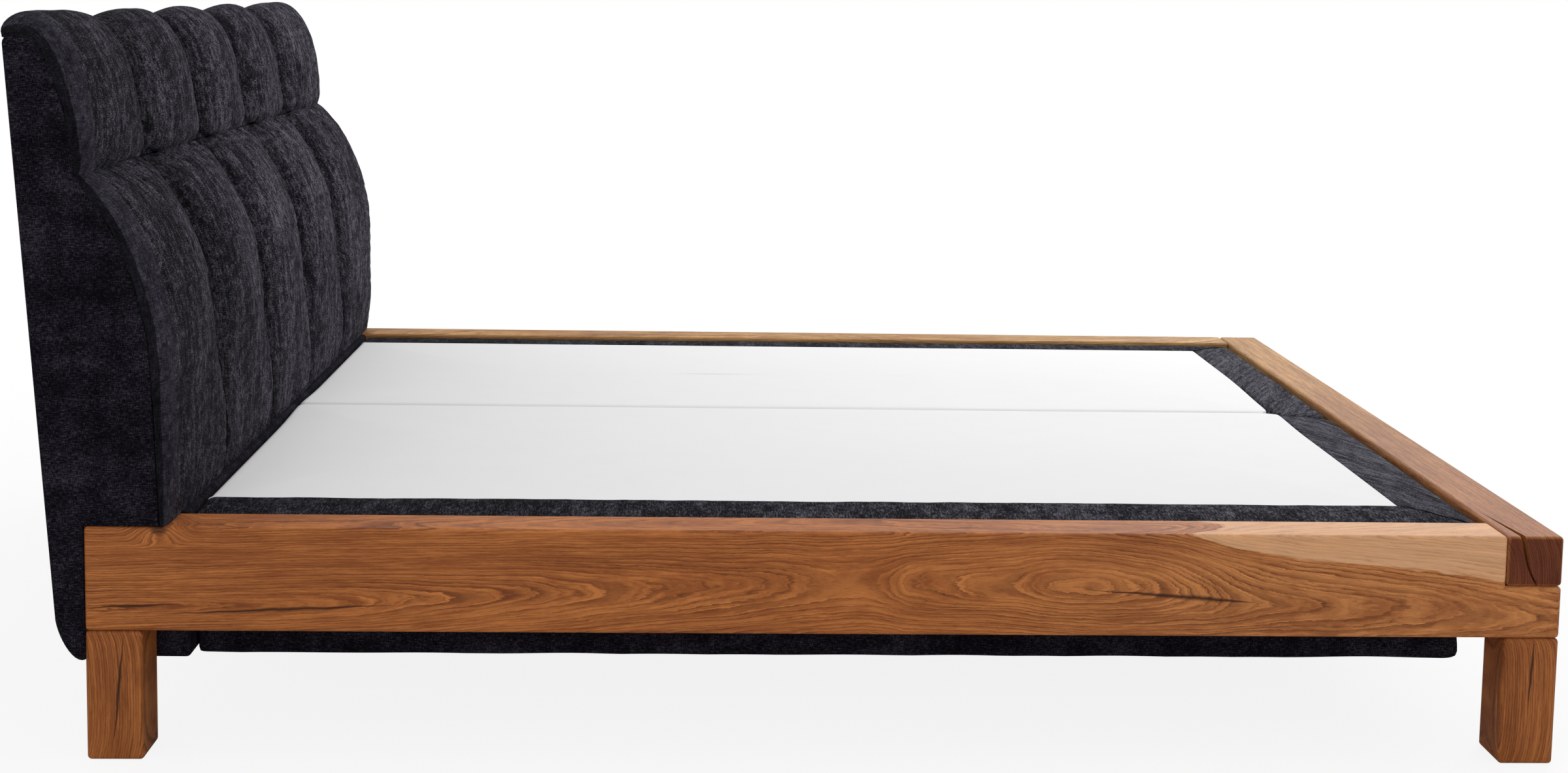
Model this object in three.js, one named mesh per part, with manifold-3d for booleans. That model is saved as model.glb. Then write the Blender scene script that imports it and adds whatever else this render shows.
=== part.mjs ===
// Box spring bed: a solid oak frame, a padded headboard with sewn channels and two loose box springs.
// Lengths are in millimetres. +X runs from the headboard to the foot, +Y to the left of someone who
// faces the foot, and +Z up. The origin lies on the floor under the middle of the whole bed.

import * as THREE from 'three';
import { mergeVertices } from 'three/addons/utils/BufferGeometryUtils.js';
import Module from 'manifold-3d';

const wasm = await Module();
wasm.setup();

// The oak frame.
const bedWidth = 1780; // over the two side rails
const railLength = 2245;
const railThickness = 85;
const railHeight = 160;
const legHeight = 200;
const legSide = 85;
const beamWidth = 87; // of the beam across the foot, along the bed
const beamHeight = 78;
const grainEdgeRound = 7; // radius of the edges that run along the grain
const endEdgeRound = 5; // radius of the edges round the end grain
const endCrackWidth = 6; // drying crack in the near end of the foot beam
const endCrackReach = 150;
const crackPlaceShare = 0.27; // of the beam's width, from its inner face to the crack at the top
const crackDriftShare = 0.3; // of the beam's width, from the crack's top to its underside
const crackClosedShare = 0.05; // of the crack's width, where it ends
const seatGap = 0.3; // between pieces that touch

// The headboard's outline, seen from the side.
const headboardHeight = 1126; // floor to the highest channel
const headboardOverhang = 105; // top back edge, behind the rails' head ends
const headboardFootDepth = 44; // back face behind the rails' head ends, low down
const headboardUnderside = 155; // floor to the fabric behind the head legs
const footRoundHeight = 61; // of the rounded lower back edge
const flapHeight = 39; // of the front fabric turned over the top back edge
const upperTierHeight = 240; // from the seam between the two tiers up to the highest channel
const tierSeamSetback = 2; // of that seam behind the rails' head ends
const lowerBulge = 120; // seams of the lower tier ahead of the rails' head ends
const bulgeStartHeight = 583; // where the lower tier starts to curve back
const bulgeReach = 220; // half width of the ellipse that it follows
const upperFront = 5; // fullest point of the upper tier's seams
const upperFullHeight = 39; // of that point above the tier seam
const topCrestShare = 0.752; // of the overhang, from the rail ends back to the crest
const channelCount = 5;
const channelRelief = 14; // a channel's middle ahead of its seams

// The headboard's build, from the back cover forward.
const coverThickness = 5;
const panelRailThickness = 22; // timber across the headboard, and its profile boards
const upperBoardThickness = 8;
const lowerBoardThickness = 6;
const lowerPadThickness = 48; // foam and fabric ahead of the lower board, at a seam
const sideCoverThickness = 8;
const topRailHeight = 60;
const middleRailHeight = 80;
const bottomRailHeight = 165;
const bottomRailThickness = 26;
const ribSpacing = 590; // between the two middle profile boards
const capHeight = 26; // padding over the top rail
const apronDepth = 74; // of the padding that goes down between the rails
const apronUnderside = 130;
const apronRound = 18;
const underBoardThickness = 10;

// The box springs.
const boxUnderside = 138;
const boxEdgeHeight = 347; // floor to the outer edge of a box's top
const boxTopHeight = 359; // floor to the edge of the white panel
const boxCrown = 9; // of the white panel's middle over its edge
const borderWidth = 95; // dark border round the white panel, at the side and the foot
const boxSideGap = 3; // to the side rail
const boxMiddleGap = 4; // between the two boxes
const boxEndGap = 4; // to the headboard's channels and to the foot beam
const boxCornerRound = 14;
const boxWall = 10; // padding and fabric on a box's sides
const boxClothThickness = 3; // under a box and under its rebate
const topPadThickness = 37; // of the white pad, at its edge
const trayWall = 22; // timber boards of a box's tray
const trayRimThickness = 22;
const slatWidth = 70;
const slatThickness = 19;
const slatCount = 7;

// What carries the boxes.
const ledgeWidth = 30;
const ledgeHeight = 28;
const ledgeTopRise = 40; // above the side rail's underside
const ledgeGap = 4; // beside the boxes' lower part
const bearerWidth = 90;
const bearerHeight = 40;
const bearerEdgeRound = 4;
const bearerLegSide = 50;
const glideRadius = 20;
const glideHeight = 8;
const glideStemRadius = 5;
const glideStemLength = 30;
const strapWidth = 40; // of the hanger at the bearer's foot end
const strapThickness = 3;
const strapSeat = 60; // of its flange under the bearer
const strapTopShare = 0.75; // of the foot ledge's height

// Fasteners.
const boltClearance = 0.3; // round every shank, in its bore
const legBoltRadius = 5;
const legBoltInLeg = 78;
const legBoltInRail = 58;
const beamBoltRadius = 4;
const beamBoltHeadRadius = 10;
const beamBoltHeadHeight = 8;
const beamBoltInBeam = 50;
const beamBoltOffset = 24; // from the leg's centre line, both ways
const headBoltRadius = 4;
const headBoltLength = 96; // under the head
const headBoltHeadRadius = 9;
const headBoltHeadHeight = 6;
const headBoltInset = 27; // from the rail's inner face
const headBoltRises = [42, 118]; // above the rail's underside
const nutRadius = 7;
const nutLength = 30;
const nutFromRailEnd = 60;
const screwRadius = 2.5;
const screwHeadRadius = 5;
const screwHeadHeight = 3;
const screwLength = 62;
const screwPlaceShares = [0.18, 0.82]; // along a side ledge

const boreOverrun = 5; // of a cutting tool past the face it cuts
const roundSteps = 3; // facets in a rounded corner
const rodSides = 16;
const crackSteps = 6;
const lowerArcSteps = 9; // along the lower tier's curve

// Places worked out from the sizes. X is counted from the rails' head ends and moved at the end.
const totalLength = railLength + headboardOverhang;
const railHeadX = headboardOverhang - totalLength / 2;
const halfWidth = bedWidth / 2;
const innerHalf = halfWidth - railThickness;
const railTop = legHeight + railHeight;
const beamUnderside = railTop - beamHeight;
const beamInnerX = railLength - beamWidth;
const footRoundTop = headboardUnderside + footRoundHeight;
const tierSeamHeight = headboardHeight - upperTierHeight;
const topSeamHeight = headboardHeight - channelRelief;
const topCrestX = -headboardOverhang * topCrestShare;
const flapUnderside = headboardHeight - flapHeight;
const panelHalf = halfWidth - sideCoverThickness; // half the width between the side covers
const crestX = lowerBulge + channelRelief;
const apronBackX = crestX - apronDepth;
const boxHeadX = crestX + boxEndGap;
const boxFootX = beamInnerX - boxEndGap;
const boxNearY = boxMiddleGap / 2;
const boxFarY = innerHalf - boxSideGap;
const ledgeTop = legHeight + ledgeTopRise;
const ledgeUnderside = ledgeTop - ledgeHeight;
const rebate = ledgeWidth + ledgeGap; // of a box's lower part, at the side and the foot
const rebateHeight = ledgeTop + seatGap;
const padUnderside = boxTopHeight - topPadThickness;
const bearerTop = boxUnderside - seatGap;
const bearerUnderside = bearerTop - bearerHeight;
const footLedgeX = beamInnerX - ledgeWidth - boxEndGap + ledgeGap / 2;
const bearerFootX = footLedgeX - strapThickness - 2 * seatGap;

const group = new THREE.Group();
group.position.x = railHeadX;

// Finishes.
function finish(color, roughness, metalness = 0) {
  return new THREE.MeshStandardMaterial({ color, roughness, metalness });
}

const oak = finish(0xa9713f, 0.55);
const softwood = finish(0xd2b27c, 0.7);
const plywood = finish(0xc9a46b, 0.7);
const steel = finish(0x9a9da1, 0.35, 1);
const blackSteel = finish(0x2a2b2e, 0.5, 1);
const blackPlastic = finish(0x1c1c1e, 0.5);
const headboardFabric = finish(0x3a3840, 0.95);
const sideFabric = finish(0x27252c, 0.95);
const boxFabric = finish(0x46454c, 0.95);
const whiteCover = finish(0xe8e8ea, 0.9);
const foam = finish(0xe4ddc0, 0.9);
const springBlock = finish(0xd9dadc, 0.85);

// A closed geometry, or one built from corners and faces, as a solid that can be joined and cut.
function solidOf(geometry) {
  const bare = geometry.clone();
  bare.deleteAttribute('normal');
  bare.deleteAttribute('uv');
  const merged = mergeVertices(bare);
  const vertProperties = Float32Array.from(merged.attributes.position.array);
  const triVerts = Uint32Array.from(merged.index.array);
  return new wasm.Manifold(new wasm.Mesh({ numProp: 3, vertProperties, triVerts }));
}

function addPiece(name, solid, material) {
  const { vertProperties, triVerts } = solid.getMesh();
  const geometry = new THREE.BufferGeometry();
  geometry.setAttribute('position', new THREE.BufferAttribute(Float32Array.from(vertProperties), 3));
  geometry.setIndex(new THREE.BufferAttribute(Uint32Array.from(triVerts), 1));
  geometry.computeVertexNormals();
  const mesh = new THREE.Mesh(geometry, material);
  mesh.name = name;
  group.add(mesh);
}

function block([x0, x1], [y0, y1], [z0, z1]) {
  const box = new THREE.BoxGeometry(Math.abs(x1 - x0), Math.abs(y1 - y0), Math.abs(z1 - z0));
  return solidOf(box.translate((x0 + x1) / 2, (y0 + y1) / 2, (z0 + z1) / 2));
}

// An arc that replaces the corner at `tip` between the points before and after it.
function roundedCorner(before, tip, after, radius) {
  if (radius === 0) return [tip];
  const back = before.clone().sub(tip).normalize();
  const ahead = after.clone().sub(tip).normalize();
  const half = Math.acos(THREE.MathUtils.clamp(back.dot(ahead), -1, 1)) / 2;
  const middle = back.clone().add(ahead).normalize();
  const centre = tip.clone().addScaledVector(middle, radius / Math.sin(half));
  const start = tip.clone().addScaledVector(back, radius / Math.tan(half)).sub(centre);
  const turn = (Math.PI - 2 * half) * Math.sign(ahead.cross(back));
  const origin = new THREE.Vector2();
  return Array.from({ length: roundSteps + 1 }, (_, i) =>
    start.clone().rotateAround(origin, turn * i / roundSteps).add(centre));
}

// A closed outline from corners [a, b, radius].
function outline(corners) {
  const tips = corners.map(([a, b]) => new THREE.Vector2(a, b));
  const count = corners.length;
  return tips.flatMap((tip, i) =>
    roundedCorner(tips[(i + count - 1) % count], tip, tips[(i + 1) % count], corners[i][2] ?? 0));
}

const rectangle = ([a0, a1], [b0, b1], radius = 0) =>
  outline([[a0, b0, radius], [a1, b0, radius], [a1, b1, radius], [a0, b1, radius]]);

// Axes for an outline drawn in the plane across X, Y or Z, which is pushed out along that axis.
const across = {
  x: new THREE.Matrix4().makeBasis(
    new THREE.Vector3(0, 1, 0), new THREE.Vector3(0, 0, 1), new THREE.Vector3(1, 0, 0)),
  y: new THREE.Matrix4().makeBasis(
    new THREE.Vector3(1, 0, 0), new THREE.Vector3(0, 0, 1), new THREE.Vector3(0, -1, 0)),
  z: new THREE.Matrix4(),
};

// A prism of an outline across one axis, from `from` to `to`, with its end edges rounded by `endRound`.
function prism(points, axis, [from, to], endRound = 0) {
  const low = Math.min(from, to);
  const high = Math.max(from, to);
  const geometry = new THREE.ExtrudeGeometry(new THREE.Shape(points), {
    depth: high - low - 2 * endRound,
    bevelEnabled: endRound > 0,
    bevelThickness: endRound,
    bevelSize: endRound,
    bevelOffset: -endRound,
    bevelSegments: 2,
    steps: 1,
  });
  geometry.translate(0, 0, endRound + (axis === 'y' ? -high : low));
  return solidOf(geometry.applyMatrix4(across[axis]));
}

// A turned piece: its profile [radius, height] runs along an axis through `base`.
function turned(profile, axis, base) {
  const points = profile.map(([radius, height]) => new THREE.Vector2(radius, height));
  const geometry = new THREE.LatheGeometry(points, rodSides).rotateX(Math.PI / 2);
  geometry.applyMatrix4({
    x: new THREE.Matrix4().makeRotationY(Math.PI / 2),
    y: new THREE.Matrix4().makeRotationX(-Math.PI / 2),
    z: new THREE.Matrix4(),
  }[axis]);
  return solidOf(geometry.translate(...base));
}

function rod(radius, length, axis, base) {
  return turned([[0, 0], [radius, 0], [radius, length], [0, length]], axis, base);
}

// A rod across the bed on one side, between two distances from the bed's middle.
function crossRod(side, radius, [from, to], x, height) {
  return rod(radius, to - from, 'y', [x, side > 0 ? from : -to, height]);
}

// A closed solid through rings of equally many points. `flatten` gives the plane of its two ends.
function loft(rings, flatten) {
  const count = rings[0].length;
  const faces = [];
  for (let ring = 0; ring + 1 < rings.length; ring++) {
    for (let i = 0; i < count; i++) {
      const a = ring * count + i;
      const b = ring * count + (i + 1) % count;
      faces.push(a, b, b + count, a, b + count, a + count);
    }
  }
  const contour = rings[0].map(flatten);
  const clockwise = THREE.ShapeUtils.isClockWise(contour);
  for (const [a, b, c] of THREE.ShapeUtils.triangulateShape(contour, [])) {
    faces.push(...(clockwise ? [a, b, c] : [a, c, b]));
  }
  const lastContour = rings.at(-1).map(flatten);
  const last = (rings.length - 1) * count;
  for (const [a, b, c] of THREE.ShapeUtils.triangulateShape(lastContour, [])) {
    faces.push(...(clockwise ? [last + a, last + c, last + b] : [last + a, last + b, last + c]));
  }
  const points = rings.flat();
  const volume = faces.reduce((sum, _, i) => i % 3 ? sum
    : sum + points[faces[i]].dot(points[faces[i + 1]].clone().cross(points[faces[i + 2]])), 0);
  const geometry = new THREE.BufferGeometry().setFromPoints(points);
  geometry.setIndex(volume > 0 ? faces : faces.toReversed());
  return solidOf(geometry);
}

const sides = { left: 1, right: -1 };
const span = (side, from, to) => [side * from, side * to];

// The headboard's side outline. Heights are from the floor.

const leanAt = height => -headboardFootDepth
  - (headboardOverhang - headboardFootDepth) * (height - footRoundTop) / (topSeamHeight - footRoundTop);

const lowerCentreX = lowerBulge - bulgeReach;
const lowerRise = (tierSeamHeight - bulgeStartHeight)
  / Math.sqrt(1 - ((-tierSeamSetback - lowerCentreX) / bulgeReach) ** 2);

// The lower tier's seam line, pulled back by `inset`, at a turn from level (0) to upright (90 degrees).
function lowerArc(angle, inset) {
  return new THREE.Vector2(
    lowerCentreX + (bulgeReach - inset) * Math.cos(angle),
    bulgeStartHeight + (lowerRise - inset) * Math.sin(angle));
}

const tierSeamAngle = Math.asin((tierSeamHeight - bulgeStartHeight) / lowerRise);

// Points on that line from the bulge's start up to the tier seam, or to `stopAngle`.
function lowerArcPoints(inset, steps, stopAngle) {
  return Array.from({ length: steps + 1 }, (_, i) => lowerArc(stopAngle * i / steps, inset));
}

const upperSwellShares = [0, 0.35, 0.7]; // from the tier seam up to the upper tier's fullest point

// The upper tier's seam line, from the tier seam up to its crest.
function upperArcPoints(steps) {
  const swell = upperSwellShares.map(share => new THREE.Vector2(
    upperFront - (upperFront + tierSeamSetback) * (1 - share) ** 2,
    tierSeamHeight + share * upperFullHeight));
  const rise = topSeamHeight - tierSeamHeight - upperFullHeight;
  const arc = Array.from({ length: steps + 1 }, (_, i) => new THREE.Vector2(
    topCrestX + (upperFront - topCrestX) * Math.cos(Math.PI / 2 * i / steps),
    tierSeamHeight + upperFullHeight + rise * Math.sin(Math.PI / 2 * i / steps)));
  return [...swell, ...arc];
}

// The roll over the top, from the crest back to the top of the flap.
const rollHeightShare = 0.3; // of the flap's height
function topRollPoints(steps) {
  const drop = flapHeight * rollHeightShare;
  return Array.from({ length: steps }, (_, i) => {
    const angle = Math.PI / 2 * (i + 1) / steps;
    return new THREE.Vector2(
      topCrestX - (headboardOverhang + topCrestX) * Math.sin(angle),
      topSeamHeight - drop * (1 - Math.cos(angle)));
  });
}

// The lower back edge, from the lean's foot round to the underside, pulled in by `inset`.
function footRoundPoints(inset, steps) {
  return Array.from({ length: steps + 1 }, (_, i) => {
    const angle = Math.PI / 2 * i / steps;
    return new THREE.Vector2(
      -seatGap - (headboardFootDepth - seatGap - inset) * Math.cos(angle),
      footRoundTop - (footRoundHeight - inset) * Math.sin(angle));
  });
}

const pair = point => [point.x, point.y];
const liftedPair = inset => height => [leanAt(height) + inset, height];

// The oak frame.

function addFrame() {
  const notchX = beamInnerX - seatGap;
  for (const [name, side] of Object.entries(sides)) {
    const profile = outline([
      [0, legHeight, grainEdgeRound], [railLength, legHeight, grainEdgeRound],
      [railLength, beamUnderside - seatGap, grainEdgeRound], [notchX, beamUnderside - seatGap],
      [notchX, railTop, grainEdgeRound], [0, railTop, grainEdgeRound]]);
    let rail = prism(profile, 'y', span(side, innerHalf, halfWidth), endEdgeRound);
    for (const tool of frameBores(side)) rail = rail.subtract(tool);
    addPiece(`side_rail_${name}`, rail, oak);
  }
  const beamProfile = rectangle([beamInnerX, railLength], [beamUnderside, railTop], grainEdgeRound);
  let beam = prism(beamProfile, 'y', [-halfWidth, halfWidth], endEdgeRound).subtract(endCrack());
  for (const side of Object.values(sides)) beam = beam.subtract(beamBoltShank(side, boltClearance));
  addPiece('foot_beam', beam, oak);
}

// A drying crack. It is widest in the end grain, where it curves down from the top, and closes inside.
function endCrack() {
  const mouthY = -halfWidth - boreOverrun;
  const topZ = railTop + boreOverrun;
  const edge = offset => Array.from({ length: crackSteps + 1 }, (_, i) => {
    const share = i / crackSteps;
    const drift = crackPlaceShare + crackDriftShare * share * share;
    return new THREE.Vector3(
      beamInnerX + beamWidth * drift + offset, mouthY, topZ - share * (beamHeight + 2 * boreOverrun));
  });
  const mouth = [...edge(-endCrackWidth / 2), ...edge(endCrackWidth / 2).reverse()];
  const tipX = beamInnerX + beamWidth * (crackPlaceShare - crackDriftShare / 2);
  const tip = mouth.map(point => new THREE.Vector3(
    tipX + (point.x - tipX) * crackClosedShare,
    endCrackReach - halfWidth,
    topZ + (point.z - topZ) * crackClosedShare));
  return loft([mouth, tip], point => new THREE.Vector2(point.x, point.z));
}

// The legs, and the bolts that hold them to the rails.

const legCentres = { head: legSide / 2, foot: railLength - legSide / 2 };
const legCentreY = halfWidth - legSide / 2;

const legBolt = (x, y, clearance) => rod(
  legBoltRadius + clearance, legBoltInLeg + legBoltInRail + 2 * clearance, 'z',
  [x, y, legHeight - legBoltInLeg - clearance]);

function addLegs() {
  for (const [end, x] of Object.entries(legCentres)) {
    for (const [name, side] of Object.entries(sides)) {
      const y = side * legCentreY;
      const square = rectangle(
        [x - legSide / 2, x + legSide / 2], [y - legSide / 2, y + legSide / 2], grainEdgeRound);
      const leg = prism(square, 'z', [0, legHeight], endEdgeRound).subtract(legBolt(x, y, boltClearance));
      addPiece(`leg_${end}_${name}`, leg, oak);
      addPiece(`leg_bolt_${end}_${name}`, legBolt(x, y, 0), steel);
    }
  }
}

// The bolts that draw the foot beam down into the rails' notches. Their heads hide above the foot legs.

const beamBoltX = legCentres.foot + beamBoltOffset;
const beamBoltY = side => side * (legCentreY - beamBoltOffset);

const beamBoltShank = (side, clearance) => rod(
  beamBoltRadius + clearance, beamUnderside - legHeight + beamBoltInBeam + 2 * clearance, 'z',
  [beamBoltX, beamBoltY(side), legHeight - clearance]);

const beamBoltHead = (side, clearance, from) => rod(
  beamBoltHeadRadius + clearance, legHeight + beamBoltHeadHeight + clearance - from, 'z',
  [beamBoltX, beamBoltY(side), from]);

// The bolts from the headboard's bottom rail into cross nuts in the side rails.

const headBoltY = side => side * (innerHalf + headBoltInset);
const headBoltSeatX = -seatGap - bottomRailThickness;

const headBoltShank = (side, height, clearance) => rod(
  headBoltRadius + clearance, headBoltLength + 2 * clearance, 'x',
  [headBoltSeatX - clearance, headBoltY(side), height]);

// A cross nut's two ends, as distances from the bed's middle. Its bore opens in the rail's inner face.
const nutEnds = [innerHalf + headBoltInset - nutLength / 2, innerHalf + headBoltInset + nutLength / 2];
const nutBoreEnds = [innerHalf - boreOverrun, nutEnds[1] + boltClearance];

const headBoltHeights = headBoltRises.map(rise => legHeight + rise);

function frameBores(side) {
  const tools = Object.values(legCentres).map(x => legBolt(x, side * legCentreY, boltClearance));
  tools.push(beamBoltShank(side, boltClearance));
  tools.push(beamBoltHead(side, boltClearance, legHeight - boreOverrun));
  for (const height of headBoltHeights) {
    tools.push(headBoltShank(side, height, boltClearance));
    tools.push(crossRod(side, nutRadius + boltClearance, nutBoreEnds, nutFromRailEnd, height));
  }
  for (const x of ledgeScrewPlaces) tools.push(ledgeScrew(side, x, boltClearance));
  return tools;
}

function addFrameBolts() {
  for (const [name, side] of Object.entries(sides)) {
    const beamBolt = beamBoltShank(side, 0).add(beamBoltHead(side, 0, legHeight));
    addPiece(`beam_bolt_${name}`, beamBolt, steel);
    headBoltHeights.forEach((height, i) => {
      const level = ['lower', 'upper'][i];
      const headBase = [headBoltSeatX - headBoltHeadHeight, headBoltY(side), height];
      const head = rod(headBoltHeadRadius, headBoltHeadHeight, 'x', headBase);
      addPiece(`headboard_bolt_${name}_${level}`, headBoltShank(side, height, 0).add(head), steel);
      const nut = crossRod(side, nutRadius, nutEnds, nutFromRailEnd, height)
        .subtract(headBoltShank(side, height, boltClearance));
      addPiece(`cross_nut_${name}_${level}`, nut, steel);
    });
  }
}

// The ledges that carry the boxes' rebated edges, and their screws.

const ledgeFootX = footLedgeX - seatGap;
const ledgeScrewPlaces = screwPlaceShares.map(share => boxHeadX + share * (ledgeFootX - boxHeadX));

function ledgeScrew(side, x, clearance) {
  const seat = innerHalf - ledgeWidth;
  const height = (ledgeTop + ledgeUnderside) / 2;
  const shank = crossRod(
    side, screwRadius + clearance, [seat, seat + screwLength + clearance], x, height);
  const head = crossRod(
    side, screwHeadRadius + clearance, [seat - clearance, seat + screwHeadHeight], x, height);
  return shank.add(head);
}

function addLedges() {
  const heights = [ledgeUnderside, ledgeTop];
  for (const [name, side] of Object.entries(sides)) {
    const width = span(side, innerHalf - ledgeWidth, innerHalf - seatGap);
    let ledge = block([boxHeadX, ledgeFootX], width, heights);
    ledgeScrewPlaces.forEach((x, i) => {
      ledge = ledge.subtract(ledgeScrew(side, x, boltClearance));
      addPiece(`ledge_screw_${name}_${['head', 'foot'][i]}`, ledgeScrew(side, x, 0), steel);
    });
    addPiece(`ledge_${name}`, ledge, softwood);
  }
  const footLedge = block(
    [footLedgeX, footLedgeX + ledgeWidth], [-innerHalf + seatGap, innerHalf - seatGap], heights);
  addPiece('ledge_foot', footLedge, softwood);
}

// The bearer under the boxes' inner edges, its two legs and the hanger at its foot end.

const bearerLegShares = [0.04, 0.5]; // of the bearer's length, from its head end

function addBearer() {
  const profile = rectangle(
    [-bearerWidth / 2, bearerWidth / 2], [bearerUnderside, bearerTop], bearerEdgeRound);
  const reach = [boxHeadX, bearerFootX];
  addPiece('bearer', prism(profile, 'x', reach), softwood);
  bearerLegShares.forEach((share, i) => {
    const name = ['head', 'middle'][i];
    const x = reach[0] + bearerLegSide / 2 + share * (reach[1] - reach[0]);
    const halfSide = bearerLegSide / 2;
    const square = rectangle([x - halfSide, x + halfSide], [-halfSide, halfSide], bearerEdgeRound);
    const stemTop = glideHeight + glideStemLength;
    const bore = rod(
      glideStemRadius + boltClearance, glideStemLength + boltClearance + boreOverrun, 'z',
      [x, 0, glideHeight - boreOverrun]);
    const leg = prism(square, 'z', [glideHeight + seatGap, bearerUnderside - seatGap]).subtract(bore);
    addPiece(`bearer_leg_${name}`, leg, softwood);
    const glide = turned(
      [[0, 0], [glideRadius, 0], [glideRadius, glideHeight], [glideStemRadius, glideHeight],
        [glideStemRadius, stemTop], [0, stemTop]], 'z', [x, 0, 0]);
    addPiece(`glide_${name}`, glide, blackPlastic);
  });
  const strapOuterX = footLedgeX - seatGap;
  const strapLow = bearerUnderside - seatGap - strapThickness;
  const strapTop = ledgeUnderside + strapTopShare * ledgeHeight;
  const strapWidths = [-strapWidth / 2, strapWidth / 2];
  const upright = block([strapOuterX - strapThickness, strapOuterX], strapWidths, [strapLow, strapTop]);
  const seatHeights = [strapLow, strapLow + strapThickness];
  const seat = block([strapOuterX - strapSeat, strapOuterX], strapWidths, seatHeights);
  addPiece('bearer_hanger', upright.add(seat), blackSteel);
}

// The headboard's timber, boards and back.

const innerBack = coverThickness + seatGap; // from the back line to the timber
const upperBoardBack = innerBack + panelRailThickness + seatGap;
const upperBoardFront = upperBoardBack + upperBoardThickness;
const capUnderside = topSeamHeight - capHeight;
const joinHeightShare = 0.96; // of the lower arc's rise, where the curved board ends
const joinAngle = Math.asin(joinHeightShare);
const joinHeight = lowerArc(joinAngle, lowerPadThickness).y;
const upperBoardLow = joinHeight + lowerBoardThickness;
const footBoardTop = railTop + seatGap;
const bottomRailTop = railTop - 2 * grainEdgeRound;

// The front edge of the profile boards, from the rail's top up to the cap. It follows the boards' backs.
function profileFront(steps) {
  const inset = lowerPadThickness + lowerBoardThickness + seatGap;
  const curve = lowerArcPoints(inset, steps, joinAngle).filter(
    point => point.x > leanAt(point.y) + innerBack + panelRailThickness);
  const lastHeight = curve.at(-1).y;
  return [
    [lowerBulge - inset, footBoardTop], ...curve.map(pair),
    liftedPair(innerBack + panelRailThickness)(lastHeight + lowerBoardThickness),
    liftedPair(innerBack + panelRailThickness)(capUnderside - seatGap)];
}

function addHeadboardTimber() {
  const back = liftedPair(innerBack);
  for (const [name, side] of Object.entries(sides)) {
    const foot = footRoundPoints(innerBack, roundSteps).map(pair);
    const board = prism(
      outline([
        ...foot, [-seatGap, footBoardTop],
        ...profileFront(2 * roundSteps), back(capUnderside - seatGap)]),
      'y', span(side, panelHalf - panelRailThickness, panelHalf - seatGap));
    addPiece(`headboard_side_${name}`, board, plywood);

    const ribBack = liftedPair(innerBack + panelRailThickness + seatGap);
    const ribTop = profileFront(2 * roundSteps).slice(0, -2);
    const ribLow = headboardUnderside + underBoardThickness + seatGap;
    const rib = prism(
      outline([
        [0, ribLow], [apronBackX - seatGap, ribLow], [apronBackX - seatGap, footBoardTop],
        ...ribTop, ribBack(ribTop.at(-1)[1]),
        ribBack(bottomRailTop + seatGap), [0, bottomRailTop + seatGap]]),
      'y', span(side, ribSpacing / 2, ribSpacing / 2 + panelRailThickness));
    addPiece(`headboard_rib_${name}`, rib, plywood);
  }
  const railHalf = panelHalf - panelRailThickness - seatGap;
  const crossRail = (low, high) => prism(
    outline([
      liftedPair(innerBack)(low), liftedPair(innerBack + panelRailThickness)(low),
      liftedPair(innerBack + panelRailThickness)(high), liftedPair(innerBack)(high)]),
    'y', [-railHalf, railHalf]);
  const topRailTop = capUnderside - seatGap;
  addPiece('headboard_top_rail', crossRail(topRailTop - topRailHeight, topRailTop), softwood);
  const middleRail = crossRail(joinHeight - middleRailHeight / 2, joinHeight + middleRailHeight / 2);
  addPiece('headboard_middle_rail', middleRail, softwood);

  const bottomHeights = [bottomRailTop - bottomRailHeight, bottomRailTop];
  let bottomRail = block([headBoltSeatX, -seatGap], [-railHalf, railHalf], bottomHeights);
  for (const side of Object.values(sides)) {
    for (const height of headBoltHeights) {
      bottomRail = bottomRail.subtract(headBoltShank(side, height, boltClearance));
    }
  }
  addPiece('headboard_bottom_rail', bottomRail, softwood);
  const underBoard = block(
    [0, apronBackX - seatGap], [-innerHalf + boxSideGap, innerHalf - boxSideGap],
    [headboardUnderside, headboardUnderside + underBoardThickness]);
  addPiece('headboard_under_board', underBoard, plywood);
}

function addHeadboardBoards() {
  const upper = prism(
    outline([
      liftedPair(upperBoardBack)(upperBoardLow), liftedPair(upperBoardFront)(upperBoardLow),
      liftedPair(upperBoardFront)(capUnderside - seatGap),
      liftedPair(upperBoardBack)(capUnderside - seatGap)]),
    'y', [-panelHalf + seatGap, panelHalf - seatGap]);
  addPiece('headboard_upper_board', upper, plywood);

  const front = lowerArcPoints(lowerPadThickness, 2 * roundSteps, joinAngle);
  const rear = lowerArcPoints(lowerPadThickness + lowerBoardThickness, 2 * roundSteps, joinAngle);
  const strip = [
    [lowerBulge - lowerPadThickness, footBoardTop], ...front.map(pair), ...rear.map(pair).reverse(),
    [lowerBulge - lowerPadThickness - lowerBoardThickness, footBoardTop]];
  const lower = prism(outline(strip), 'y', [-panelHalf + seatGap, panelHalf - seatGap])
    .subtract(behindPlane(upperBoardFront + seatGap));
  addPiece('headboard_lower_board', lower, plywood);
}

// Everything behind a plane that stands `inset` ahead of the headboard's back line.
function behindPlane(inset) {
  const far = -2 * headboardOverhang;
  const low = bulgeStartHeight;
  const high = 2 * headboardHeight;
  return prism(
    outline([[far, low], liftedPair(inset)(low), liftedPair(inset)(high), [2 * far, high]]),
    'y', [-bedWidth, bedWidth]);
}

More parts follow.
